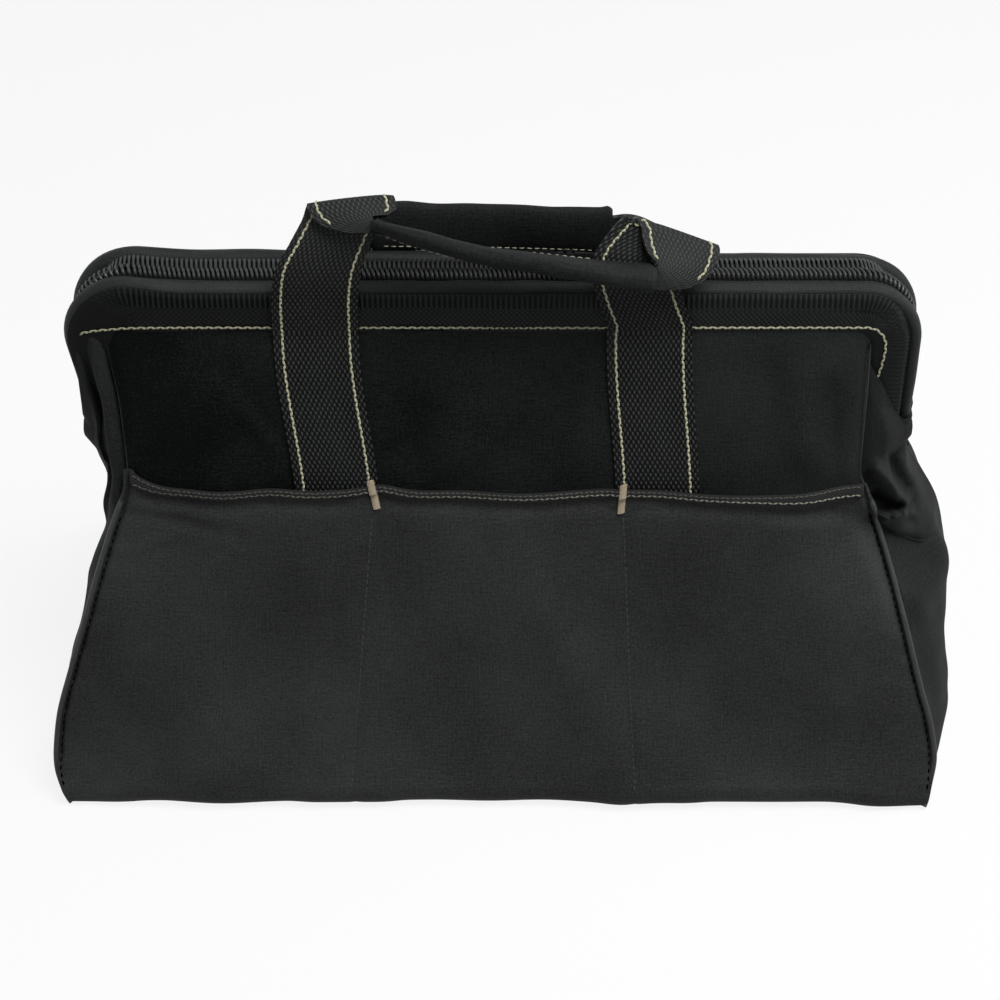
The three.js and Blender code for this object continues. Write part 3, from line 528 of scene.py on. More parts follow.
def grain_shape(length, radius):
    """One stitch: a thin grain along x, thickest in the middle and dipping at its ends."""
    rings, sides = 5, 6
    along = np.linspace(-1, 1, rings)[:, None]
    swell = radius * np.sqrt(np.clip(1 - 0.92 * along ** 2, 0, 1))
    angle = np.arange(sides) * 2 * math.pi / sides
    z = swell * np.sin(angle) - 0.5 * radius * along ** 2
    points = np.stack(np.broadcast_arrays(0.5 * length * along, swell * np.cos(angle), z), axis=-1)
    return points.reshape(-1, 3), [face[::-1] for face in ring_faces(rings, sides)]


def repeated(name, shape, origins, along, across, out, finish):
    """Copies of one small shape as a single piece, each at its origin with its own x, y and z directions."""
    points, faces = shape
    placed = (origins[:, None] + points[None, :, :1] * along[:, None] + points[None, :, 1:2] * across[:, None]
              + points[None, :, 2:] * out[:, None])
    count = len(points)
    every = [[index + count * k for index in face] for k in range(len(origins)) for face in faces]
    return new_piece(name, placed.reshape(-1, 3), every, finish)


def unit(vectors):
    return vectors / np.linalg.norm(vectors, axis=-1, keepdims=True)


def read_at(at, distance, rows):
    """Rows that go with distances along a path, read at other distances."""
    return np.stack([np.interp(at, distance, column) for column in rows.T], axis=1)


def stitch_row(name, path, outward, finish, pitch, length, radius, sway, inset=0.0):
    """A row of stitches along a path; outward is the surface's normal, one or one for each point."""
    distance = length_along(path)
    sewn = distance[-1] - 2 * inset
    count = max(int(sewn / pitch), 1)
    at = inset + (np.arange(count) + 0.5) * sewn / count
    along = unit(read_at(at, distance, np.gradient(path, distance, axis=0)))
    across = unit(np.cross(unit(read_at(at, distance, np.broadcast_to(outward, path.shape))), along))
    turn = np.where(np.arange(count) % 2 == 0, sway, -sway)[:, None]
    return repeated(name, grain_shape(length, radius), read_at(at, distance, path),
                    unit(along + turn * across), unit(across - turn * along), np.cross(along, across), finish)


# Painted light: the binding tape and the hem thread are made lighter towards the right, where the light
# falls.
binding_tape = ribbed_band("binding_tape", (0.006, 0.006, 0.006), (0.034, 0.035, 0.033), 1.6 * mm, 1.6 * mm,
                           0.1)
tan_thread = thread_finish("tan_thread", (0.20, 0.155, 0.10), (0.46, 0.385, 0.285))
hem_thread = thread_finish("hem_thread", (0.006, 0.006, 0.005), (0.24, 0.24, 0.195), painted_side_light=2.0)
divider_thread = thread_finish("divider_thread", (0.014, 0.0155, 0.015), (0.044, 0.048, 0.046))
dim_thread = thread_finish("dim_thread", (0.012, 0.012, 0.010), (0.10, 0.10, 0.08))

POCKET_SEEDS = {"front": 21, "back": 31}
ACROSS = closer_at_ends(301, 0.55)
ROLL_START = 9 * mm  # up to here the pocket's foot rolls under


def across_pocket(s):
    """x from the pocket's left edge to its right one, at a height up the slope."""
    left = side_edge(-1, s) - 0.8 * mm
    return left + (side_edge(1, s) + 0.8 * mm - left) * ACROSS


for side, seed in POCKET_SEEDS.items():
    to_side = SIDES[side]
    # The bottom edge rolls under: an arc from the floor up to where the straight slope starts.
    roll_angle = np.linspace(math.pi / 2 + LEAN, 0, 9)[:, None]
    foot_x = across_pocket(ROLL_START)
    foot_stand = pocket_surface(foot_x, ROLL_START, seed)
    roll = ROLL * (0.6 + 0.4 * smooth_step(from_edge(foot_x, ROLL_START), 0, 45 * mm))
    centre_s = (roll + BOTTOM_LIFT - (foot_stand - roll) * math.sin(LEAN)) / math.cos(LEAN)
    rolled_s = centre_s - roll * np.sin(roll_angle)
    rolled_n = foot_stand - roll + roll * np.cos(roll_angle)
    rolled = wall_point(across_pocket(np.maximum(rolled_s, 0)), rolled_s, rolled_n)
    rise = np.linspace(0, 1, 97)[1:, None]
    s = centre_s + (hem_slope(across_pocket(SLANT_HEM)) - 1 * mm - centre_s) * rise
    x = across_pocket(s)
    sloped = wall_point(x, s, pocket_surface(x, np.maximum(s, ROLL_START), seed))
    outside = np.concatenate([rolled, sloped]) * to_side
    pocket = panel(f"{side}_pocket", outside, CLOTH, body_cloth)
    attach(pocket, "bag_body")
    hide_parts(f"{side}_pocket_panel")

    hem_x = np.linspace(side_edge(-1, SLANT_HEM + 6 * mm) + 1.5 * mm, side_edge(1, SLANT_HEM) - 1 * mm, 221)
    hem_s = hem_slope(hem_x)
    height = hem_height(hem_x)
    middle_n = pocket_surface(hem_x, hem_s - height, seed) - CLOTH / 2 + HEM_PROUD
    centres = wall_point(hem_x, hem_s - height / 2, middle_n)
    tall = np.stack([height, np.ones(len(height))], axis=1)[:, None]
    section = round_section(0.5, HEM_THICK / 2, 14, 3.0) * tall
    band = swept(f"{side}_hem_binding", centres, UP_WALL, OFF_WALL, section, binding_tape, to_side)
    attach(band, "bag_body")
    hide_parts(f"{side}_pocket_binding")
    for row_name, row_s, sink, thread, stitch in (
        ("hem_stitches", hem_s - height + 1.3 * mm, 0.05 * mm, hem_thread, HEM_STITCH),
        ("hem_edge_stitches", hem_s - 0.9 * mm, 0.1 * mm, dim_thread, HEM_EDGE_STITCH),
    ):
        sewn = wall_point(hem_x, row_s, middle_n + HEM_THICK / 2 - sink) * to_side
        row = stitch_row(f"{side}_{row_name}", sewn, OFF_WALL * to_side, thread, *stitch, 2 * mm)
        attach(row, "bag_body")

    for hand, sign, slant, flare in (("left", -1, 0.2, LEFT_FLARE), ("right", 1, -0.06, RIGHT_FLARE)):
        sewn_s = np.linspace(10 * mm, SLANT_HEM - 11 * mm, 120)
        sewn_x = sign * (DIVIDER_X + flare * (1 - sewn_s / SLANT_HEM))
        sewn = wall_point(sewn_x, sewn_s, pocket_surface(sewn_x, sewn_s, seed) + 0.1 * mm) * to_side
        row = stitch_row(f"{side}_{hand}_divider_stitches", sewn, OFF_WALL * to_side, divider_thread,
                         *DIVIDER_STITCH)
        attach(row, "bag_body")
        top = hem_slope(sign * DIVIDER_X) + TACK_ABOVE
        tack_s = top - np.linspace(0, TACK_LENGTH, 24)
        tack_x = sign * DIVIDER_X + slant * (top - tack_s - TACK_LENGTH / 2)
        band_low = top - TACK_ABOVE - hem_height(sign * DIVIDER_X)
        on_band = smooth_step(tack_s, band_low - 1 * mm, band_low + 0.5 * mm)
        tack_n = pocket_surface(tack_x, np.minimum(tack_s, band_low), seed) + 0.9 * mm
        tack_n = tack_n + (HEM_THICK / 2 - CLOTH / 2 + HEM_PROUD) * on_band
        tack = wall_point(tack_x, tack_s, tack_n) * to_side
        ways = [np.broadcast_to(way * to_side, tack.shape) for way in (unit(TACK_WAY), -UP_WALL, OFF_WALL)]
        bartack = repeated(f"{side}_{hand}_bartack_stitches", grain_shape(*TACK_STITCH), tack, *ways,
                           tan_thread)
        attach(bartack, "bag_body")
        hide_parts(f"{side}_{hand}_bartack")

# End panels: polyester between the side seams of the two walls, narrowing to the hinges. The right one has
# fallen outwards with a pinched fold under the rim, the left one has sunk in. Each is made as a front and a
# back half.
BULGE_HEIGHTS = np.array([0, 20, 40, 60, 80, 100, 116, 130, 144, 158.5]) * mm
RIGHT_MIDDLE = np.array([212, 214.4, 214.6, 214.4, 212, 206.5, 198, 189, 185.4, 186.2]) * mm
LEFT_MIDDLE = np.array([199, 197, 192.5, 187, 182.5, 180, 179.5, 180.5, 183, 186.2]) * mm
ROD_Y = 11 * mm  # the mouth frames and their rivets, from the middle
HINGE_Z = 150 * mm
SEAM_BEND = 0.67  # share of the seam that is below the pocket's hem


def above_hem(v):
    """0 on the part of the seam below the pocket's hem, 1 above it."""
    return smooth_step(v, SEAM_BEND - 0.04, SEAM_BEND + 0.03)


def side_seam(sign, v, out, n, top):
    """The seam of the front wall with an end panel, from the floor (v 0) to the rim (v 1)."""
    low = np.minimum(v / SEAM_BEND, 1) * (SLANT_HEM - 2.4 * mm) + 2.4 * mm
    high = np.maximum(v - SEAM_BEND, 0) / (1 - SEAM_BEND) * (top - SLANT_HEM)
    s = low + high
    return wall_point(side_edge(sign, s) + sign * out, s, n)


def middle_reach(profile, z):
    """How far from the middle of the bag an end panel's middle line is, at a height."""
    heights, reach = smooth_line(np.stack([BULGE_HEIGHTS, profile], axis=1), 200).T
    return np.interp(z, heights, reach)


def over_hinge(y, z):
    """How far out the cloth is held by the hinge plate and the rivet heads behind it."""
    from_rivet = np.hypot(np.abs(y) - ROD_Y, z - HINGE_Z)
    from_plate = np.hypot(np.maximum(np.abs(y) - 17.5 * mm, 0), np.maximum(np.abs(z - HINGE_Z) - 6.5 * mm, 0))
    return np.maximum(186.8 * mm - 0.9 * np.maximum(from_rivet - 4.6 * mm, 0), 182 * mm - 1.8 * from_plate)


def along_line(x, w, start, end, wide):
    """1 on the straight line from start to end, less beside it and towards its ends."""
    way = np.subtract(end, start)
    length = np.hypot(*way)
    ahead = ((x - start[0]) * way[0] + (w - start[1]) * way[1]) / length
    beside = ((w - start[1]) * way[0] - (x - start[0]) * way[1]) / length
    return between(ahead, -2 * mm, 2 * mm, length - 2 * mm, length + 2 * mm) * bell(beside, wide)


def end_panel(sign, profile, seam_top, top_line, folds, tucks, pinches, seed):
    """Half an end panel, in front of the middle: [row up, column from the seam to the middle]."""
    rows, columns = 170, 100
    v = np.linspace(0, 1, rows)
    u = 0.45 * np.linspace(0, 1, columns) + 0.55 * np.linspace(0, 1, columns) ** 2
    seam = side_seam(sign, v, 0.2 * mm, -1.2 * mm - 1.2 * mm * above_hem(v), seam_top)
    middle_z = 2 * mm + v * (BULGE_HEIGHTS[-1] - 2 * mm)
    middle = np.stack([sign * middle_reach(profile, middle_z), np.zeros(rows), middle_z], axis=1)
    foot = seam[0] + (middle[0] - seam[0]) * u[:, None]
    foot[:, 0] += sign * 5 * mm * np.sin(np.pi * u) ** 2
    top = np.concatenate([seam[-1:], np.array(top_line) * (sign * mm, -mm, mm), middle[-1:]])
    top = read_at(u, np.linspace(0, 1, 200), smooth_line(top, 200))
    U = u[None, :, None]
    V = v[:, None, None]
    corners = (1 - V) * ((1 - U) * seam[0] + U * middle[0]) + V * ((1 - U) * seam[-1] + U * middle[-1])
    patch = (1 - U) * seam[:, None] + U * middle[:, None] + (1 - V) * foot[None] + V * top[None] - corners
    normal = unit(np.cross(np.gradient(patch, axis=1), np.gradient(patch, axis=0)) * sign)
    y, z = patch[..., 1], patch[..., 2]
    U, V = U[..., 0], V[..., 0]
    bulge = np.sin(np.pi * U)
    swell = 3.6 * mm * bulge * np.sin(np.pi * np.clip(V / 0.8, 0, 1)) * (1 if profile[3] > 200 * mm else -0.5)
    soft = 0.8 * mm * ripples(y, z, 48 * mm, seed) + 0.4 * mm * ripples(y, z, 21 * mm, seed + 1)
    soft = soft * bulge ** 0.5 * between(V, 0, 0.12, 0.86, 1)
    tucked = sum(height * mm * bell(U - at, wide) for height, at, wide in tucks)
    tucked = tucked * smooth_step(U, 0, 0.03)
    tucked = tucked * smooth_step(V, 0.56, 0.72) * (1 - 0.7 * smooth_step(V, 0.88, 1))
    beside_cord = 4.2 * mm * bell(U - 0.028, 0.02) * smooth_step(U, 0, 0.02)
    beside_cord = beside_cord * between(V, 0.01, 0.09, 0.45, 0.56)
    relief = swell + soft + tucked - beside_cord + all_dents(y, z, folds) * smooth_step(U, 0, 0.08)
    patch = patch + normal * relief[..., None]
    patch[..., 0] += sign * 3 * mm * bulge ** 0.6 * bell(z, 18 * mm)
    pushed = np.maximum(over_hinge(patch[..., 1], patch[..., 2]) - sign * patch[..., 0], 0)
    patch[..., 0] += sign * pushed * smooth_step(U, 0.1, 0.35)
    across, up = patch[..., 0], patch @ VIEW_UP
    pinched = sum(
        height * mm * along_line(across, up, np.multiply(start, mm), np.multiply(end, mm), wide * mm)
        for height, start, end, wide in pinches)
    return patch + (pinched * smooth_step(U, 0, 0.04))[..., None] * TO_VIEWER


VIEW_TILT = math.radians(38)  # the photograph looks down by this much
VIEW_UP = np.array([0, math.sin(VIEW_TILT), math.cos(VIEW_TILT)])
TO_VIEWER = np.array([0, -math.cos(VIEW_TILT), math.sin(VIEW_TILT)])
# Folds are height, place (y, z), width, length and heading, in millimetres and radians.
RIGHT_FOLDS = [(2.0, -55, 92, 6, 26, 0.3), (2.2, -20, 86, 7, 30, 0.2)]
# The pinch is drawn as it is seen from the front: height, start and end (across and up) and width.
PINCH = [(8.0, (166.0, 93.0), (186.2, 75.2), 3.2), (-3.0, (174.5, 97.5), (187.5, 82.0), 3.0),
         (-10.0, (167.5, 81.0), (182.5, 73.8), 2.3), (-7.0, (168.0, 75.0), (178.0, 73.0), 2.2),
         (4.6, (172.2, 69.2), (189.8, 72.4), 2.2), (-2.0, (174.5, 64.4), (191.2, 68.3), 2.8),
         (2.4, (181, 98), (196, 79), 5.0)]
SUNK = [(-3.0, -34, 112, 6, 20, 0.6), (2.5, -44, 96, 6, 22, 0.3), (-2.5, -20, 122, 5, 14, 0.2)]
# Tucks run beside the seam above the hem: height, place and width as shares of the way to the middle.
RIGHT_TUCKS = [(-4.5, 0.06, 0.05), (4.5, 0.27, 0.11)]
LEFT_TUCKS = [(-4.0, 0.04, 0.03), (4.2, 0.16, 0.07), (-4.5, 0.3, 0.05)]
BACK_TUCKS = [(1.0, 0.24, 0.13)]
# Top edges, from the rim down to the hinge, in front of the mouth frame's leg: x outwards, y outwards, z.
RIGHT_TOP = [(163, 18.6, 190), (170, 18.5, 177), (176.5, 18.5, 165), (181.5, 18.4, 158.8),
             (185.6, 15.5, 157.6), (186.6, 9, 157.6)]
LEFT_TOP = [(176, 15.5, 204), (181, 15.5, 201.5), (184.5, 17.6, 195), (185, 18.7, 184), (185.3, 18.4, 168),
            (186.2, 15, 159), (186.6, 9, 158)]

# Painted shade: the end panels and their tabs get a darker, more mottled copy of the polyester, for the deep
# shade in their folds.
painted_shade_end_cloth = woven_cloth("black_polyester_end_painted_shade", (0.0012, 0.0014, 0.0012), (0.0225, 0.0248, 0.0235), gloss=0.1)
RIGHT_SEAM = SLANT_TOP - 9 * mm  # up to here the end panels are sewn to the walls
LEFT_SEAM = SLANT_TOP - 5 * mm
for hand, half, sign, profile, seam_top, top_line, folds, tucks, pinches, seed in (
    ("right", "front", 1, RIGHT_MIDDLE, RIGHT_SEAM, RIGHT_TOP, RIGHT_FOLDS, RIGHT_TUCKS, PINCH, 41),
    ("right", "back", -1, RIGHT_MIDDLE, LEFT_SEAM, LEFT_TOP, SUNK, BACK_TUCKS, [], 43),
    ("left", "front", -1, LEFT_MIDDLE, LEFT_SEAM, LEFT_TOP, SUNK, LEFT_TUCKS, [], 45),
    ("left", "back", 1, LEFT_MIDDLE, RIGHT_SEAM, RIGHT_TOP, SUNK[1:], BACK_TUCKS, [], 47),
):
    surface = end_panel(sign, profile, seam_top, top_line, folds, tucks, pinches, seed) * SIDES[half]
    end = panel(f"{hand}_end_panel_{half}", surface if sign > 0 else surface[:, ::-1], CLOTH, painted_shade_end_cloth)
    bend_with_mouth(end)
    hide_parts(f"{hand}_gusset", f"{hand}_gusset_top")

# Piping: a cord wrapped in a strip of the polyester, sewn into the four seams between the walls and the end
# panels. It runs from the bottom corner up past the hem to the rim.
PIPING_RADIUS = 1.4 * mm
UPPER_PIPING = 0.6 * mm  # above the hem
SEAM_INSET = 1.1 * mm  # the stitches that hold it, from the pocket's edge
SEAM_STITCH = (3.6 * mm, 2.8 * mm, 0.5 * mm, 0.0)
piping_cloth = woven_cloth("piping_polyester", (0.006, 0.0065, 0.006), (0.027, 0.0295, 0.028), 0.5 * mm, 0.45,
                           0.3)
# Partly painted shade: the seam stitches are real dark thread, made near black to paint the shade of the
# groove beside the piping.
seam_thread_painted_shade = thread_finish("seam_thread_painted_shade", (0.0004, 0.0004, 0.0004), (0.0016, 0.0016, 0.0016), 0.0)
HANDS = (("left", -1), ("right", 1))

for side, to_side in SIDES.items():
    for hand, sign in HANDS:
        v = np.linspace(0, 1, 150)
        above = above_hem(v)
        turned_under = 1 - smooth_step(v, 0.03, 0.11)
        proud = 1.25 * mm - 0.9 * mm * above - 1.0 * mm * turned_under
        sunk = 4.7 * mm * above + 1.0 * mm * smooth_step(v, 0.92, 1) + 1.5 * mm * turned_under
        line = side_seam(sign, v, proud, 0.9 * mm - sunk, SLANT_TOP - 2.5 * mm)
        along = unit(np.gradient(line, axis=0))
        off = unit(OFF_WALL - (along @ OFF_WALL)[:, None] * along)
        thin = PIPING_RADIUS + (UPPER_PIPING - PIPING_RADIUS) * above
        section = round_section(1, 1, 12) * thin[:, None, None]
        wide = np.cross(along, off)
        cord = swept(f"{side}_{hand}_piping_cord", line, wide, off, section, piping_cloth, to_side)
        bend_with_mouth(cord)
        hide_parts(f"{side}_{hand}_piping")
        s = np.linspace(10 * mm, SLANT_HEM - 12 * mm, 120)
        x = side_edge(sign, s) - sign * SEAM_INSET
        sewn = wall_point(x, s, pocket_surface(x, s, POCKET_SEEDS[side]) - 0.05 * mm) * to_side
        row = stitch_row(f"{side}_{hand}_seam_stitches", sewn, OFF_WALL * to_side, seam_thread_painted_shade, *SEAM_STITCH)
        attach(row, "bag_body")

# Mouth frames: two bent steel rods with flattened, drilled ends, riveted to a plate at each end of the bag,
# so that the mouth opens like a purse. The rods are inside the rim's sleeve, and only the hinges show, from
# inside the bag.


def plated_steel(name, dark, light, roughness):
    finish = new_finish(name)
    finish.node_tree.nodes["Principled BSDF"].inputs["Metallic"].default_value = 1.0
    place = add_node(finish, "ShaderNodeTexCoord", {}).outputs["Object"]
    brushed = add_node(finish, "ShaderNodeMapping", {"Vector": place, "Scale": (60, 900, 900)}).outputs[0]
    lines = noise(finish, brushed, 1.0, 3.0)
    tone = sum_of(finish, [(lines, 0.5), (noise(finish, place, 90.0, 4.0), 0.5)])
    return finished(finish, tone, dark, light, lines, 0.03 * mm, roughness, 0.5)


dress(("_frame_rod", "_hinge_plate", "_rivet"),
      plated_steel("phosphated_steel", (0.045, 0.045, 0.047), (0.11, 0.11, 0.11), 0.45))

# Rim: each rod runs in a cloth sleeve that goes up one end of the bag, along the top and down the other. A
# ribbed tape covers the joint of sleeve and wall, sewn along its lower edge with pale yellow thread.
ROD_X = 182.5 * mm
ROD_Z = 223.5 * mm
ROD_CORNER = 25.5 * mm
LEG_END = 149 * mm
SLEEVE = 4.5 * mm  # half its thickness
SLEEVE_HEIGHT = {"front": 3.1 * mm, "back": 4.5 * mm}  # half its height; the front one hangs flattened
TAPE_INNER = -18 * mm  # edges of the tape, from the line of the rod
TAPE_OUTER = 0.8 * mm
TAPE = 1.4 * mm
RIB = 2.3 * mm
TAPE_ROW = 2.6 * mm
NO_WEAVE = 40 * mm  # where the tape is rubbed flat, its cut plan is shifted to below the weave
STITCH_FROM_EDGE = 2.2 * mm
LONG_STITCH = (2.1 * mm, 2.6 * mm, 0.54 * mm, 0.32)
FORWARD = np.array([0.0, -1.0, 0.0])
# The front row of stitches runs out at the left end and turns down at the right one: x and z.
FRONT_SEAM = [(-183.5, 203), (-179, 205.3), (-168, 206.8), (-150, 207.6), (-75, 207.7), (0, 207.7),
              (75, 207.7), (150, 207.7), (161.5, 207.5), (167, 204), (169.2, 198), (168.7, 189), (167, 179)]
LEFT_SPREAD = {"front": 4.6 * mm, "back": 2.2 * mm}  # the rim's left corner has slipped outwards on the rod
ZIPPER_SPREAD = 3.2 * mm
RIGHT_DRAW = {"front": 3 * mm, "back": 0}  # and at the right end the front tape is drawn in, off the sleeve
BACK_TILT = 1.6 * mm  # and the back sleeve sits higher at the left than at the right


def rim_line(step):
    """The line of the rod, left leg, top and right leg: x and z, the way out, and the length so far."""
    leg = ROD_Z - ROD_CORNER - LEG_END
    bend = ROD_CORNER * math.pi / 2
    top = 2 * (ROD_X - ROD_CORNER)
    total = 2 * leg + 2 * bend + top
    d = np.linspace(0, total, int(total / step) + 1)
    angle = math.pi - (np.clip(d - leg, 0, bend) + np.clip(d - leg - bend - top, 0, bend)) / ROD_CORNER
    way = np.stack([np.sin(angle), -np.cos(angle)], axis=1)
    middle_way = (way[1:] + way[:-1]) / 2
    moved = np.cumsum(middle_way * np.diff(d)[:, None], axis=0)
    xz = np.array([-ROD_X, LEG_END]) + np.concatenate([[[0, 0]], moved])
    return xz, np.stack([np.cos(angle), np.sin(angle)], axis=1), d


def rim_point(xz, out, offset, y):
    """A point beside the rim's line: offset outwards in its plane, at depth y."""
    flat = xz + np.asarray(offset)[..., None] * out
    return np.stack([flat[..., 0], np.broadcast_to(y, flat.shape[:-1]), flat[..., 1]], axis=-1)


def from_left(d, side):
    """How far along the rim a point is, from the left end as seen from the front."""
    return d if side == "front" else d[-1] - d


def at_left_corner(d, side):
    """1 at the rim's left corner, falling to 0 along the leg and the top."""
    return between(from_left(d, side), 16 * mm, 52 * mm, 70 * mm, 115 * mm)


def at_right_end(d, side):
    """1 down the rim's right end."""
    return smooth_step(from_left(d, side), d[-1] - 80 * mm, d[-1] - 58 * mm)


def worn_flat(d, side):
    """1 where the tape's weave is flattened by wear: at the rim's left corner and down its right end."""
    left = between(from_left(d, side), 16 * mm, 52 * mm, 64 * mm, 90 * mm)
    return np.maximum(left, 0.62 * at_right_end(d, side))


sleeve_cloth = woven_cloth("sleeve_polyester", (0.006, 0.0065, 0.006), (0.0200, 0.0225, 0.0220),
                           roughness=0.55)
# Painted light: the rim tape and the rim thread are made lighter towards the right, where the light falls.
rim_tape_cloth = ribbed_band("rim_tape", (0.0005, 0.0006, 0.0006), (0.0185, 0.0206, 0.0202), RIB, TAPE_ROW,
                             TAPE_OUTER - 7 * mm, 1.5)
yellow_thread = thread_finish("yellow_thread", (0.18, 0.175, 0.105), (0.58, 0.57, 0.40))
rim_thread = thread_finish("rim_thread", (0.135, 0.13, 0.08), (0.43, 0.425, 0.30), painted_side_light=0.9)

for side, seed in (("front", 51), ("back", 57)):
    to_side = SIDES[side]
    xz, out, d = rim_line(2.5 * mm)
    spread = LEFT_SPREAD[side] * at_left_corner(d, side)
    lines = rim_point(xz, out, 0.55 * spread, -ROD_Y)
    if side == "back":
        lines[:, 2] += BACK_TILT * xz[:, 0] / ROD_X
    outward = rim_point(0 * xz, out, 1.0, 0.0)
    angle = np.arange(20) * 2 * math.pi / 20
    swell = 1 + 0.05 * ripples(d[:, None], SLEEVE * angle[None] * 2, 30 * mm, seed)
    tall = SLEEVE_HEIGHT[side] + 0.45 * spread[:, None]
    section = np.stack([tall * swell * np.cos(angle), SLEEVE * swell * np.sin(angle)], axis=2)
    sleeve = swept(f"{side}_rim_sleeve_cloth", lines, outward, FORWARD, section, sleeve_cloth, to_side)
    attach(sleeve, f"{side}_mouth")
    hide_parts(f"{side}_rim_sleeve")

    xz, out, d = rim_line(RIB / 5)
    share = np.linspace(0, 1, 33)[:, None] + np.zeros(len(d))
    wear_and_painted_light = worn_flat(d, side)
    behind = between(d[-1] - d, 17 * mm, 37 * mm, 87 * mm, 107 * mm)
    inner = TAPE_INNER - 5 * mm * behind
    drawn = at_right_end(d, side) * (RIGHT_DRAW[side] > 0)
    outer = TAPE_OUTER + LEFT_SPREAD[side] * at_left_corner(d, side) - RIGHT_DRAW[side] * drawn
    offset = inner + share * (outer - inner)
    turn = 2 * math.pi * d / RIB
    ribs = -0.45 * mm * np.cos(turn) * between(share, 0.55, 0.64, 0.9, 1) * (1 - wear_and_painted_light)
    knots = 0.28 * mm * np.sin(turn) * np.sin(2 * math.pi * offset / TAPE_ROW)
    knots = knots * between(share, 0.14, 0.2, 0.5, 0.6) * (1 - wear_and_painted_light)
    curl = (0.7 + 2.3 * drawn) * mm * smooth_step(share, 0.86, 1) ** 2
    drift = 0.4 * mm * ripples(d, offset, 70 * mm, seed + 1) * (1 - smooth_step(share, 0.6, 0.9))
    sunk = 1.6 * mm * behind * (1 - smooth_step(share, 0, 0.3))
    tape_points = rim_point(xz, out, offset, -HEAD_Y + curl - ribs - knots - drift + sunk)
    middle = RIB * round(0.5 * d[-1] / RIB)
    plan = np.stack(np.broadcast_arrays(d - middle, offset - NO_WEAVE * wear_and_painted_light), axis=2)
    tape = panel(f"{side}_rim_tape_band", tape_points * to_side, TAPE, rim_tape_cloth, plan)
    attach(tape, f"{side}_mouth")
    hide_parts(f"{side}_rim_tape")

    xz, out, d = rim_line(1 * mm)
    if side == "front":
        seam_x, seam_z = smooth_line(FRONT_SEAM, len(d)).T * mm
        seam = np.stack([seam_x, np.full(len(d), -HEAD_Y - 0.35 * mm), seam_z], axis=1)
    else:
        seam = rim_point(xz, out, TAPE_INNER + STITCH_FROM_EDGE, -HEAD_Y - 0.25 * mm)
    row = stitch_row(f"{side}_rim_stitches", seam * to_side, FORWARD * to_side, rim_thread, *LONG_STITCH,
                     2 * mm)
    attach(row, f"{side}_mouth")

# Zipper: two tapes sewn inside the sleeves, each carrying half of a nylon coil. The coil's loops hook into
# each other along the top and down both ends. Two enamelled sliders, each with a pull tab, meet under the
# handles.
COIL_PITCH = 2.1 * mm
COIL_WIRE = 0.62 * mm
LOOPS_LEFT_OUT = 2  # at each end, beside the rivets
ZIPPER_TAPE_LIFT = 1.2 * mm
LEG_SINK = 3.4 * mm


def zipper_sink(d, side):
    """How far the zipper has sunk between the sleeves, along the rim."""
    from_end = np.minimum(d, d[-1] - d)
    leg = ROD_Z - ROD_CORNER - LEG_END
    down_legs = 1 - smooth_step(from_end, leg - 4 * mm, leg + ROD_CORNER * 1.3)
    return LEG_SINK * down_legs - ZIPPER_SPREAD * at_left_corner(d, side)


def tube_shape(path, radius):
    """A round wire along a path, as one small closed shape."""
    sides = 6
    along = unit(np.gradient(path, axis=0))
    side_way = unit(np.cross(along, np.array([1.0, 0.2, 0.1])))
    up_way = np.cross(along, side_way)
    angle = np.arange(sides)[:, None] * 2 * math.pi / sides
    rings = path[:, None] + radius * (np.cos(angle) * side_way[:, None] + np.sin(angle) * up_way[:, None])
    return rings.reshape(-1, 3), ring_faces(len(path), sides)


# One loop of the coil, from the outer edge over the top to the hook and back under: along, across, up.
coil_loop = np.array([
    (1.0, -6.5, 1.5), (0.95, -6.8, 2.8), (0.75, -6.1, 4.1), (0.3, -4.4, 4.7), (-0.3, -2.2, 4.3),
    (-0.75, -0.5, 3.7), (-0.9, 0.6, 3.2), (-0.8, 0.85, 2.4), (-0.6, 0.2, 1.9), (-0.2, -2.6, 1.8),
]) * mm

coil_nylon = moulded_plastic("black_nylon", (0.007, 0.0075, 0.0072), (0.021, 0.0215, 0.021), 0.42, 0.36)
zipper_cloth = woven_cloth("zipper_tape_polyester", (0.003, 0.003, 0.003), (0.010, 0.0105, 0.0105), 0.5 * mm)

for side, to_side in SIDES.items():
    xz, out, d = rim_line(3 * mm)
    across = np.linspace(-6.9, -0.9, 6)[:, None] * mm + np.zeros(len(d))
    sewn_down = ZIPPER_SPREAD * at_left_corner(d, side) * smooth_step(-across, 4 * mm, 6.9 * mm)
    lift = ZIPPER_TAPE_LIFT + 0.5 * mm - zipper_sink(d, side) - sewn_down
    surface = rim_point(xz, out, lift, across)
    tape = panel(f"{side}_zipper_tape_cloth", surface * to_side, 0.9 * mm, zipper_cloth)
    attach(tape, f"{side}_mouth")
    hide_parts(f"{side}_zipper_tape")

    xz, out, d = rim_line(0.5 * mm)
    shift = 0.25 if side == "front" else 0.75
    at = np.arange((shift + LOOPS_LEFT_OUT) * COIL_PITCH, d[-1] - LOOPS_LEFT_OUT * COIL_PITCH, COIL_PITCH)
    out_at = unit(read_at(at, d, out))
    origins = rim_point(read_at(at, d, xz), out_at, -np.interp(at, d, zipper_sink(d, side)), 0.0)
    up = rim_point(0 * out_at, out_at, 1.0, 0.0)
    back = np.broadcast_to([0.0, 1.0, 0.0], up.shape)
    forth = np.cross(back, up)
    loop = tube_shape(coil_loop * (1 if side == "front" else 0.35, 1, 1), COIL_WIRE)
    coil = repeated(f"{side}_coil_loops", loop, origins * to_side, forth * to_side, back * to_side, up,
                    coil_nylon)
    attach(coil, f"{side}_mouth")
    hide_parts(f"{side}_zipper_coil")

dress(("_zipper_slider", "_pull_tab"),
      plated_steel("black_enamel", (0.028, 0.028, 0.030), (0.060, 0.060, 0.064), 0.34))

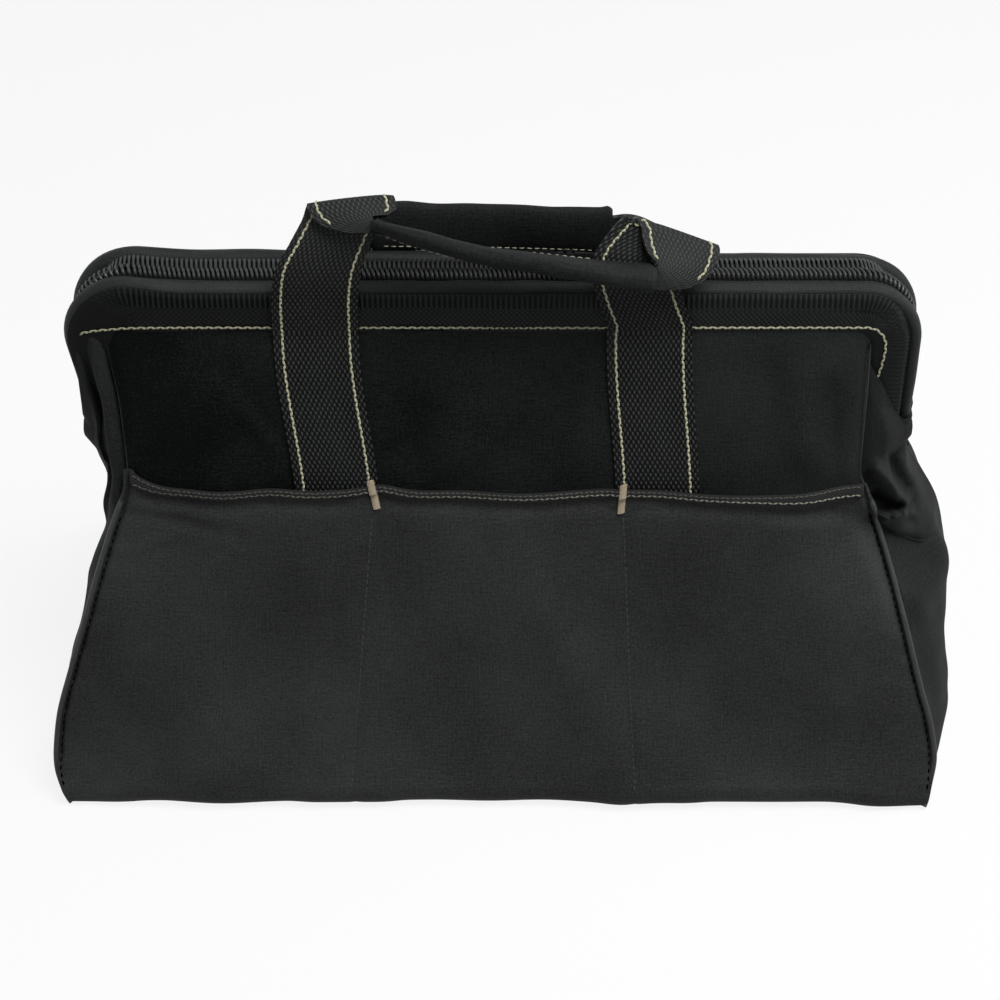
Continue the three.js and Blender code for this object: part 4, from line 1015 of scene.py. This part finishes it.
# End tabs: a short strip of the polyester over each end of the zipper, with its edges turned under. It is
# sewn to the end panel on both sides and bows out a little over the hinge's rivets.
TAB_HALF = 6 * mm
for hand, sign in HANDS:
    low, high = (corner.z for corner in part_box(f"{hand}_end_tab"))
    y = np.linspace(-TAB_HALF, TAB_HALF, 25)[None, :] * sign
    z = np.linspace(low + 3 * mm, high - 3 * mm, 29)[:, None]
    reach = middle_reach(LEFT_MIDDLE if sign < 0 else RIGHT_MIDDLE, z)
    bow = 0.3 * mm * (1 - (y / TAB_HALF) ** 2) + 0.1 * mm * ripples(y, z, 18 * mm, 61 + sign)
    surface = np.stack(np.broadcast_arrays(sign * (reach + 1.3 * mm + bow), y, z), axis=-1)
    tab = panel(f"{hand}_end_tab_cloth", surface, CLOTH, painted_shade_end_cloth)
    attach(tab, "bag_body")
    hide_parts(f"{hand}_end_tab")

# Straps: 38 mm webbing sewn flat to the wall from the bottom to the rim, with a row of yellow stitches inside
# each edge. Above the rim the same webbing is the handle: it folds lengthwise and goes through the grip.
WEBBING = 1.8 * mm
WEBBING_WIDTH = 37 * mm
STITCH_INSET = 3.9 * mm
SWING_Y = 18.6 * mm
SWING_Z = 206.4 * mm
YARN_WIDE = 2.2 * mm  # the weave's repeat across and along the webbing
YARN_LONG = 3.8 * mm


def webbing_weave(name, dark, light, wear_and_painted_light=0.0):
    """Knotted weave; the last argument is painted light, lighter along the middle of its length."""
    finish = new_finish(name)
    plan = add_node(finish, "ShaderNodeUVMap", {}).outputs["UV"]
    across, along, _ = add_node(finish, "ShaderNodeSeparateXYZ", {"Vector": plan}).outputs
    yarns = [reckon(finish, "SINE", reckon(finish, "MULTIPLY", way, 2 * math.pi / repeat))
             for way, repeat in ((across, YARN_WIDE), (along, YARN_LONG))]
    knots = ramp_up(finish, reckon(finish, "MULTIPLY", *yarns), -0.1, 0.85)
    fuzz = mottle(finish, plan, (1500, 500))
    wear = mottle(finish, plan, (40, 25), 3.0)
    # painted light: 1 along the middle of the length, fading out towards the ends
    painted_light_middle = ramp_up(finish, reckon(finish, "ABSOLUTE", along), 125 * mm, 85 * mm)
    tone = sum_of(finish, [(knots, 0.75), (fuzz, 0.25), (wear, 0.25), (painted_light_middle, wear_and_painted_light)])
    height = sum_of(finish, [(knots, 0.9), (fuzz, 0.2)])
    return finished(finish, ramp_up(finish, tone, 0.22, 1.1), dark, light, height, 0.4 * mm, 0.5, 0.07)


def ribbon(name, left, right, bow, finish):
    """Webbing between its two edges, bowed out in the middle."""
    centres = (left + right) / 2
    out = unit(np.cross(right - left, np.gradient(centres, axis=0)))
    share = np.linspace(0, 1, 17)[None, :]
    lift = WEBBING / 2 + bow[:, None] * (1 - (2 * share - 1) ** 2)
    outside = left[:, None] + share[..., None] * (right - left)[:, None] + lift[..., None] * out[:, None]
    length = length_along(centres)
    from_middle = length[:, None] - length[-1] / 2
    plan = np.stack(np.broadcast_arrays((share - 0.5) * WEBBING_WIDTH, from_middle), axis=-1)
    return panel(name, outside, WEBBING, finish, plan), outside


def strap_stitches(name, outside, finish, face):
    """Two rows of stitches on one face of a ribbon: face 1 is its outside, -1 its inside."""
    columns = outside.shape[1]
    at = STITCH_INSET / WEBBING_WIDTH * (columns - 1)
    rows = []
    for place in (at, columns - 1 - at):
        k = int(place)
        edge = outside[:, k] + (place - k) * (outside[:, k + 1] - outside[:, k])
        lift = 0.1 * mm if face > 0 else -WEBBING - 0.1 * mm
        across = outside[:, k + 1] - outside[:, k]
        normal = unit(np.cross(across, np.gradient(outside[:, k], axis=0)))
        row = stitch_row(f"{name}_{len(rows) + 1}", edge + lift * normal, face * normal, finish, *LONG_STITCH)
        rows.append(row)
    return rows


webbing = webbing_weave("black_webbing", (0.0004, 0.0005, 0.0004), (0.0480, 0.0520, 0.0490))

RIM_X = {"front": (-79 * mm, 65.75 * mm), "back": (-71 * mm, 71 * mm)}  # the straps' middles at the rim
for side, to_side in SIDES.items():
    for (hand, sign), rim_x in zip(HANDS, RIM_X[side]):
        s = np.linspace(4 * mm, 222 * mm, 120)
        x = sign * STRAP_X + (rim_x - sign * STRAP_X) * smooth_step(s, SLANT_HEM - 10 * mm, 218 * mm)
        line = wall_point(x, s, np.full(len(s), 0.4 * mm + WEBBING / 2))
        line[:, 2] *= SWING_Z / line[-1, 2]
        line[:, 1] = np.minimum(line[:, 1], -SWING_Y)
        half = np.array([WEBBING_WIDTH / 2, 0, 0])
        strap, outside = ribbon(f"{side}_{hand}_strap", (line - half) * to_side, (line + half) * to_side,
                                np.zeros(len(s)), webbing)
        bend_with_mouth(strap)
        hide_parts(f"{side}_{hand}_strap_foot", f"{side}_{hand}_strap_leg")
        seen = outside[s > SLANT_HEM - 6 * mm]
        for row in strap_stitches(f"{side}_{hand}_strap_stitches", seen, yellow_thread, 1):
            bend_with_mouth(row)

# Handle loops: the same webbing above the rim, with its yellow stitches on both faces. The front loop has
# fallen over to the front and twists at both bends; the back one stands half up. Each row is the strap's left
# edge, its right edge and how far it bows out between them, in millimetres.
FALLEN = [
    (-97.5, -18.6, 206.4, -60.5, -18.6, 206.4, 0), (-97.5, -18.6, 210, -60.5, -18.6, 210, 0),
    (-97, -19.5, 223.4, -60.2, -19.5, 223.4, 0), (-94.5, -20, 239, -58, -20, 239, 0.5),
    (-88, -17.5, 250.3, -53, -17.5, 252, 1), (-82.5, -13, 259, -48, -13, 263, 1),
    (-80.2, -10.5, 265, -44.5, -10.5, 269.5, 0), (-79.3, -14, 264.3, -42.9, -13, 268.6, -1),
    (-75.5, -18.5, 262, -43, -16, 266, -2), (-66.5, -22, 260.4, -47, -19, 265, -2),
    (-56, -24.3, 260.3, -51, -20.5, 265, -0.5), (-44, -25, 258.2, -43, -20, 260.5, 0),
    (-10, -29, 253, -10, -19, 246.5, 0), (30, -31, 246, 30, -20, 241, 0),
    (60, -29, 239.5, 60, -24.5, 241, 0), (66, -29.8, 236.3, 65.5, -27.3, 244.6, -0.5),
    (73.4, -28.6, 235.4, 66.2, -27.8, 245.6, -1), (82, -25.6, 235.2, 65.5, -25.8, 246.4, -1.5),
    (89, -21.6, 237.4, 63.1, -22.4, 248.4, -1.5), (92.5, -17.4, 241, 61, -18.2, 252.3, -0.6),
    (93.9, -13.2, 244, 59.5, -13.2, 257.4, -0.3), (92.6, -11, 245, 54, -11, 260, 0),
    (89, -13.2, 243, 46.5, -13.6, 253, 0.5), (80.5, -17.6, 240, 40.8, -17.8, 245, 0.5),
    (77.3, -19.8, 233, 40, -19.8, 236, 0.3), (79.8, -19.5, 222, 43.2, -19.5, 223, 0),
    (84, -18.6, 210, 47.5, -18.6, 210, 0), (84.25, -18.6, 206.4, 47.25, -18.6, 206.4, 0),
]
HALF_RAISED = [
    (-89.5, -18.6, 206.4, -52.5, -18.6, 206.4, 0), (-89.5, -18.6, 210, -52.5, -18.6, 210, 0),
    (-87, -19.8, 220, -52.5, -19.6, 218, 0.5), (-77, -19.6, 231.5, -53, -19.8, 221.5, 1.5),
    (-66, -17.8, 240, -53.5, -19.2, 225.5, 2), (-57, -16.2, 244, -53, -17.2, 227.5, 1.5),
    (-44, -15.6, 243.5, -44, -15.6, 230.5, 0),
]
MIRRORED = (-1, 1, 1, -1, 1, 1, 1)
RAISED = [*HALF_RAISED, (0, -15.6, 244, 0, -15.6, 231, 0), *np.multiply(HALF_RAISED[::-1], MIRRORED)]

# Painted light: the handle loops' webbing is lighter along the middle of its length, where its folds face the
# light.
webbing_painted_light = webbing_weave("webbing_painted_light", (0.0004, 0.0005, 0.0004), (0.0480, 0.0520, 0.0490), 0.24)


def swing_with_handle(piece):
    """Bakes the piece's transform into its mesh."""
    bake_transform(piece)


for side, stations, sewn_to, sewn_from in (("front", FALLEN, 8.5, 17.5), ("back", RAISED, 3.5, 10.5)):
    to_side = SIDES[side]
    per_station = 12
    shape = smooth_line(stations, per_station * (len(stations) - 1) + 1) * mm
    loop, outside = ribbon(f"{side}_handle_webbing", shape[:, :3] * to_side, shape[:, 3:6] * to_side,
                           shape[:, 6], webbing_painted_light)
    swing_with_handle(loop)
    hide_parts(f"{side}_handle_strap")
    first = outside[:int(per_station * sewn_to)]
    last = outside[int(per_station * sewn_from):]
    for part, sewn in (("start", first), ("end", last)):
        for face, face_name in ((1, "outer"), (-1, "inner")):
            for row in strap_stitches(f"{side}_handle_{part}_{face_name}", sewn, yellow_thread, face):
                swing_with_handle(row)

# Grips: a piece of the polyester wrapped round the folded webbing of each handle, with hemmed ends. It is
# sewn shut along one edge with pale thread. Each row is a place, the way across the grip and how full it is.
GRIP_WIDTH = 22.5 * mm
GRIP = 7.8 * mm  # its thickness
GRIP_STITCH = (3.2 * mm, 2.4 * mm, 0.3 * mm, 0.05)
GRIP_SEAM = 3.2 * mm  # from its edge
# Painted shade: the grips get a darker copy of the polyester, for the shade they lie in.
painted_shade_grip_cloth = woven_cloth("black_polyester_grip_painted_shade", (0.0025, 0.0028, 0.0026), (0.0190, 0.0208, 0.0202),
                         gloss=0.1)
grip_thread = thread_finish("grip_thread", (0.07, 0.07, 0.055), (0.42, 0.42, 0.33))
FALLEN_GRIP = [
    (-53, -22.3, 262.4, 0, 0.79, -0.61, 0.5), (-32.6, -22.5, 255.8, 0, 0.8, -0.6, 0.92),
    (-7.6, -24, 249, 0, 0.83, -0.55, 1.0), (17.8, -25, 245, 0, 0.88, -0.47, 1.12),
    (43, -26, 241.6, 0, 0.92, -0.4, 1.2), (66, -26.8, 239.6, 0, 0.94, -0.34, 1.3),
]
RAISED_GRIP = [
    (-49.5, -15.6, 236.4, 0, 0, -1, 1), (0, -15.6, 238, 0, 0, -1, 1), (54.5, -15.6, 239, 0, 0, -1, 1.12),
]

for side, stations, seed in (("front", FALLEN_GRIP, 71), ("back", RAISED_GRIP, 77)):
    to_side = SIDES[side]
    shape = smooth_line(stations, 90)
    centres = shape[:, :3] * mm
    fullness = shape[:, 6:]
    along = unit(np.gradient(centres, axis=0))
    across = unit(shape[:, 3:6] - (shape[:, 3:6] * along).sum(1, keepdims=True) * along)
    out = np.cross(along, across)
    base = round_section(GRIP_WIDTH / 2, GRIP / 2, 36, 2.7)
    angle = np.arange(36) * 2 * math.pi / 36
    length = length_along(centres)
    swell = 1 + 0.05 * ripples(length[:, None], angle[None] * 6 * mm, 22 * mm, seed)
    from_end = np.minimum(length, length[-1] - length)
    hemmed = 1 + 0.06 * bell(from_end - 2.2 * mm, 1.8 * mm) - 0.10 * np.exp(-from_end / (1.0 * mm))
    swell = (swell * hemmed[:, None])[..., None]
    section = base * swell * np.concatenate([0.5 + 0.5 * fullness, fullness], axis=1)[:, None]
    grip = swept(f"{side}_painted_shade_grip_cloth", centres, across, out, section, painted_shade_grip_cloth, to_side)
    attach(grip, f"{side}_handle")
    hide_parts(f"{side}_grip")
    for face, face_name in ((1, "outer"), (-1, "inner")):
        raised = face * fullness * (GRIP / 2 - 0.35 * mm) * out
        seam = centres + (GRIP_WIDTH / 2 - GRIP_SEAM) * across + raised
        row = stitch_row(f"{side}_grip_stitches_{face_name}", seam * to_side, face * out * to_side,
                         grip_thread, *GRIP_STITCH, 4 * mm)
        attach(row, f"{side}_handle")

# Studio: a plain pale floor and soft light from above and from both sides. What the camera sees of the floor
# and the sky is lifted to the photograph's white, which leaves the light on the bag as it is.
floor_mesh = bpy.data.meshes.new("floor")
floor_mesh.from_pydata([(-6, -6, 0), (6, -6, 0), (6, 6, 0), (-6, 6, 0)], [], [(0, 1, 2, 3)])
floor = bpy.data.objects.new("floor", floor_mesh)
bpy.context.scene.collection.objects.link(floor)
pale = new_finish("pale_floor")
matt = pale.node_tree.nodes["Principled BSDF"]
matt.inputs["Base Color"].default_value = (0.76, 0.76, 0.76, 1)
matt.inputs["Roughness"].default_value = 0.9


def seen_directly(holder):
    """1 for what the camera sees, straight or in a reflection, else 0."""
    rays = add_node(holder, "ShaderNodeLightPath", {}).outputs
    seen = reckon(holder, "MAXIMUM", rays["Is Camera Ray"], rays["Is Glossy Ray"])
    return reckon(holder, "MAXIMUM", seen, rays["Is Transmission Ray"])


glow = add_node(pale, "ShaderNodeEmission", {"Color": (1, 1, 1, 1)}).outputs["Emission"]
share = reckon(pale, "MULTIPLY", seen_directly(pale), 0.86)
mixed = add_node(pale, "ShaderNodeMixShader", {"Fac": share, 1: matt.outputs["BSDF"], 2: glow})
pale.node_tree.links.new(mixed.outputs["Shader"], pale.node_tree.nodes["Material Output"].inputs["Surface"])
floor_mesh.materials.append(pale)

world = bpy.data.worlds.new("studio")
bpy.context.scene.world = world
world.use_nodes = True
sky = world.node_tree.nodes["Background"]
sky.inputs["Color"].default_value = (0.94, 0.98, 1.0, 1)
level = add_node(world, "ShaderNodeMapRange", {"Value": seen_directly(world), "To Min": 0.09, "To Max": 1.0})
world.node_tree.links.new(level.outputs["Result"], sky.inputs["Strength"])


def soft_lamp(name, place, aim, size, watts):
    lamp = bpy.data.lights.new(name, "AREA")
    lamp.size = size
    lamp.energy = watts
    made = bpy.data.objects.new(name, lamp)
    made.location = place
    way = np.array(aim, float) - np.array(place, float)
    tilt = math.acos(-way[2] / np.linalg.norm(way))
    made.rotation_euler = (tilt, 0, math.atan2(way[1], way[0]) - math.pi / 2)
    bpy.context.scene.collection.objects.link(made)


soft_lamp("top_light", (0.4, -0.35, 1.45), (0, -0.02, 0.1), 0.8, 24)
soft_lamp("left_light", (-1.4, -0.3, 0.8), (0, 0, 0.1), 0.6, 2)
soft_lamp("right_light", (1.3, 0.35, 0.75), (0, 0, 0.1), 0.6, 6)

# Camera: a metre away from the front of the bag and looking down on it, with the lens that was fitted to the
# photograph's outline.
lens = bpy.data.cameras.new("camera")
lens.lens = 77.14
lens.sensor_width = 36
lens.shift_x = 0.002
lens.shift_y = -0.0287
camera = bpy.data.objects.new("camera", lens)
camera.location = (0, -0.788, 0.7307)
camera.rotation_euler = (math.radians(52), 0, 0)
bpy.context.scene.collection.objects.link(camera)
bpy.context.scene.camera = camera
bpy.context.scene.view_settings.view_transform = "Standard"
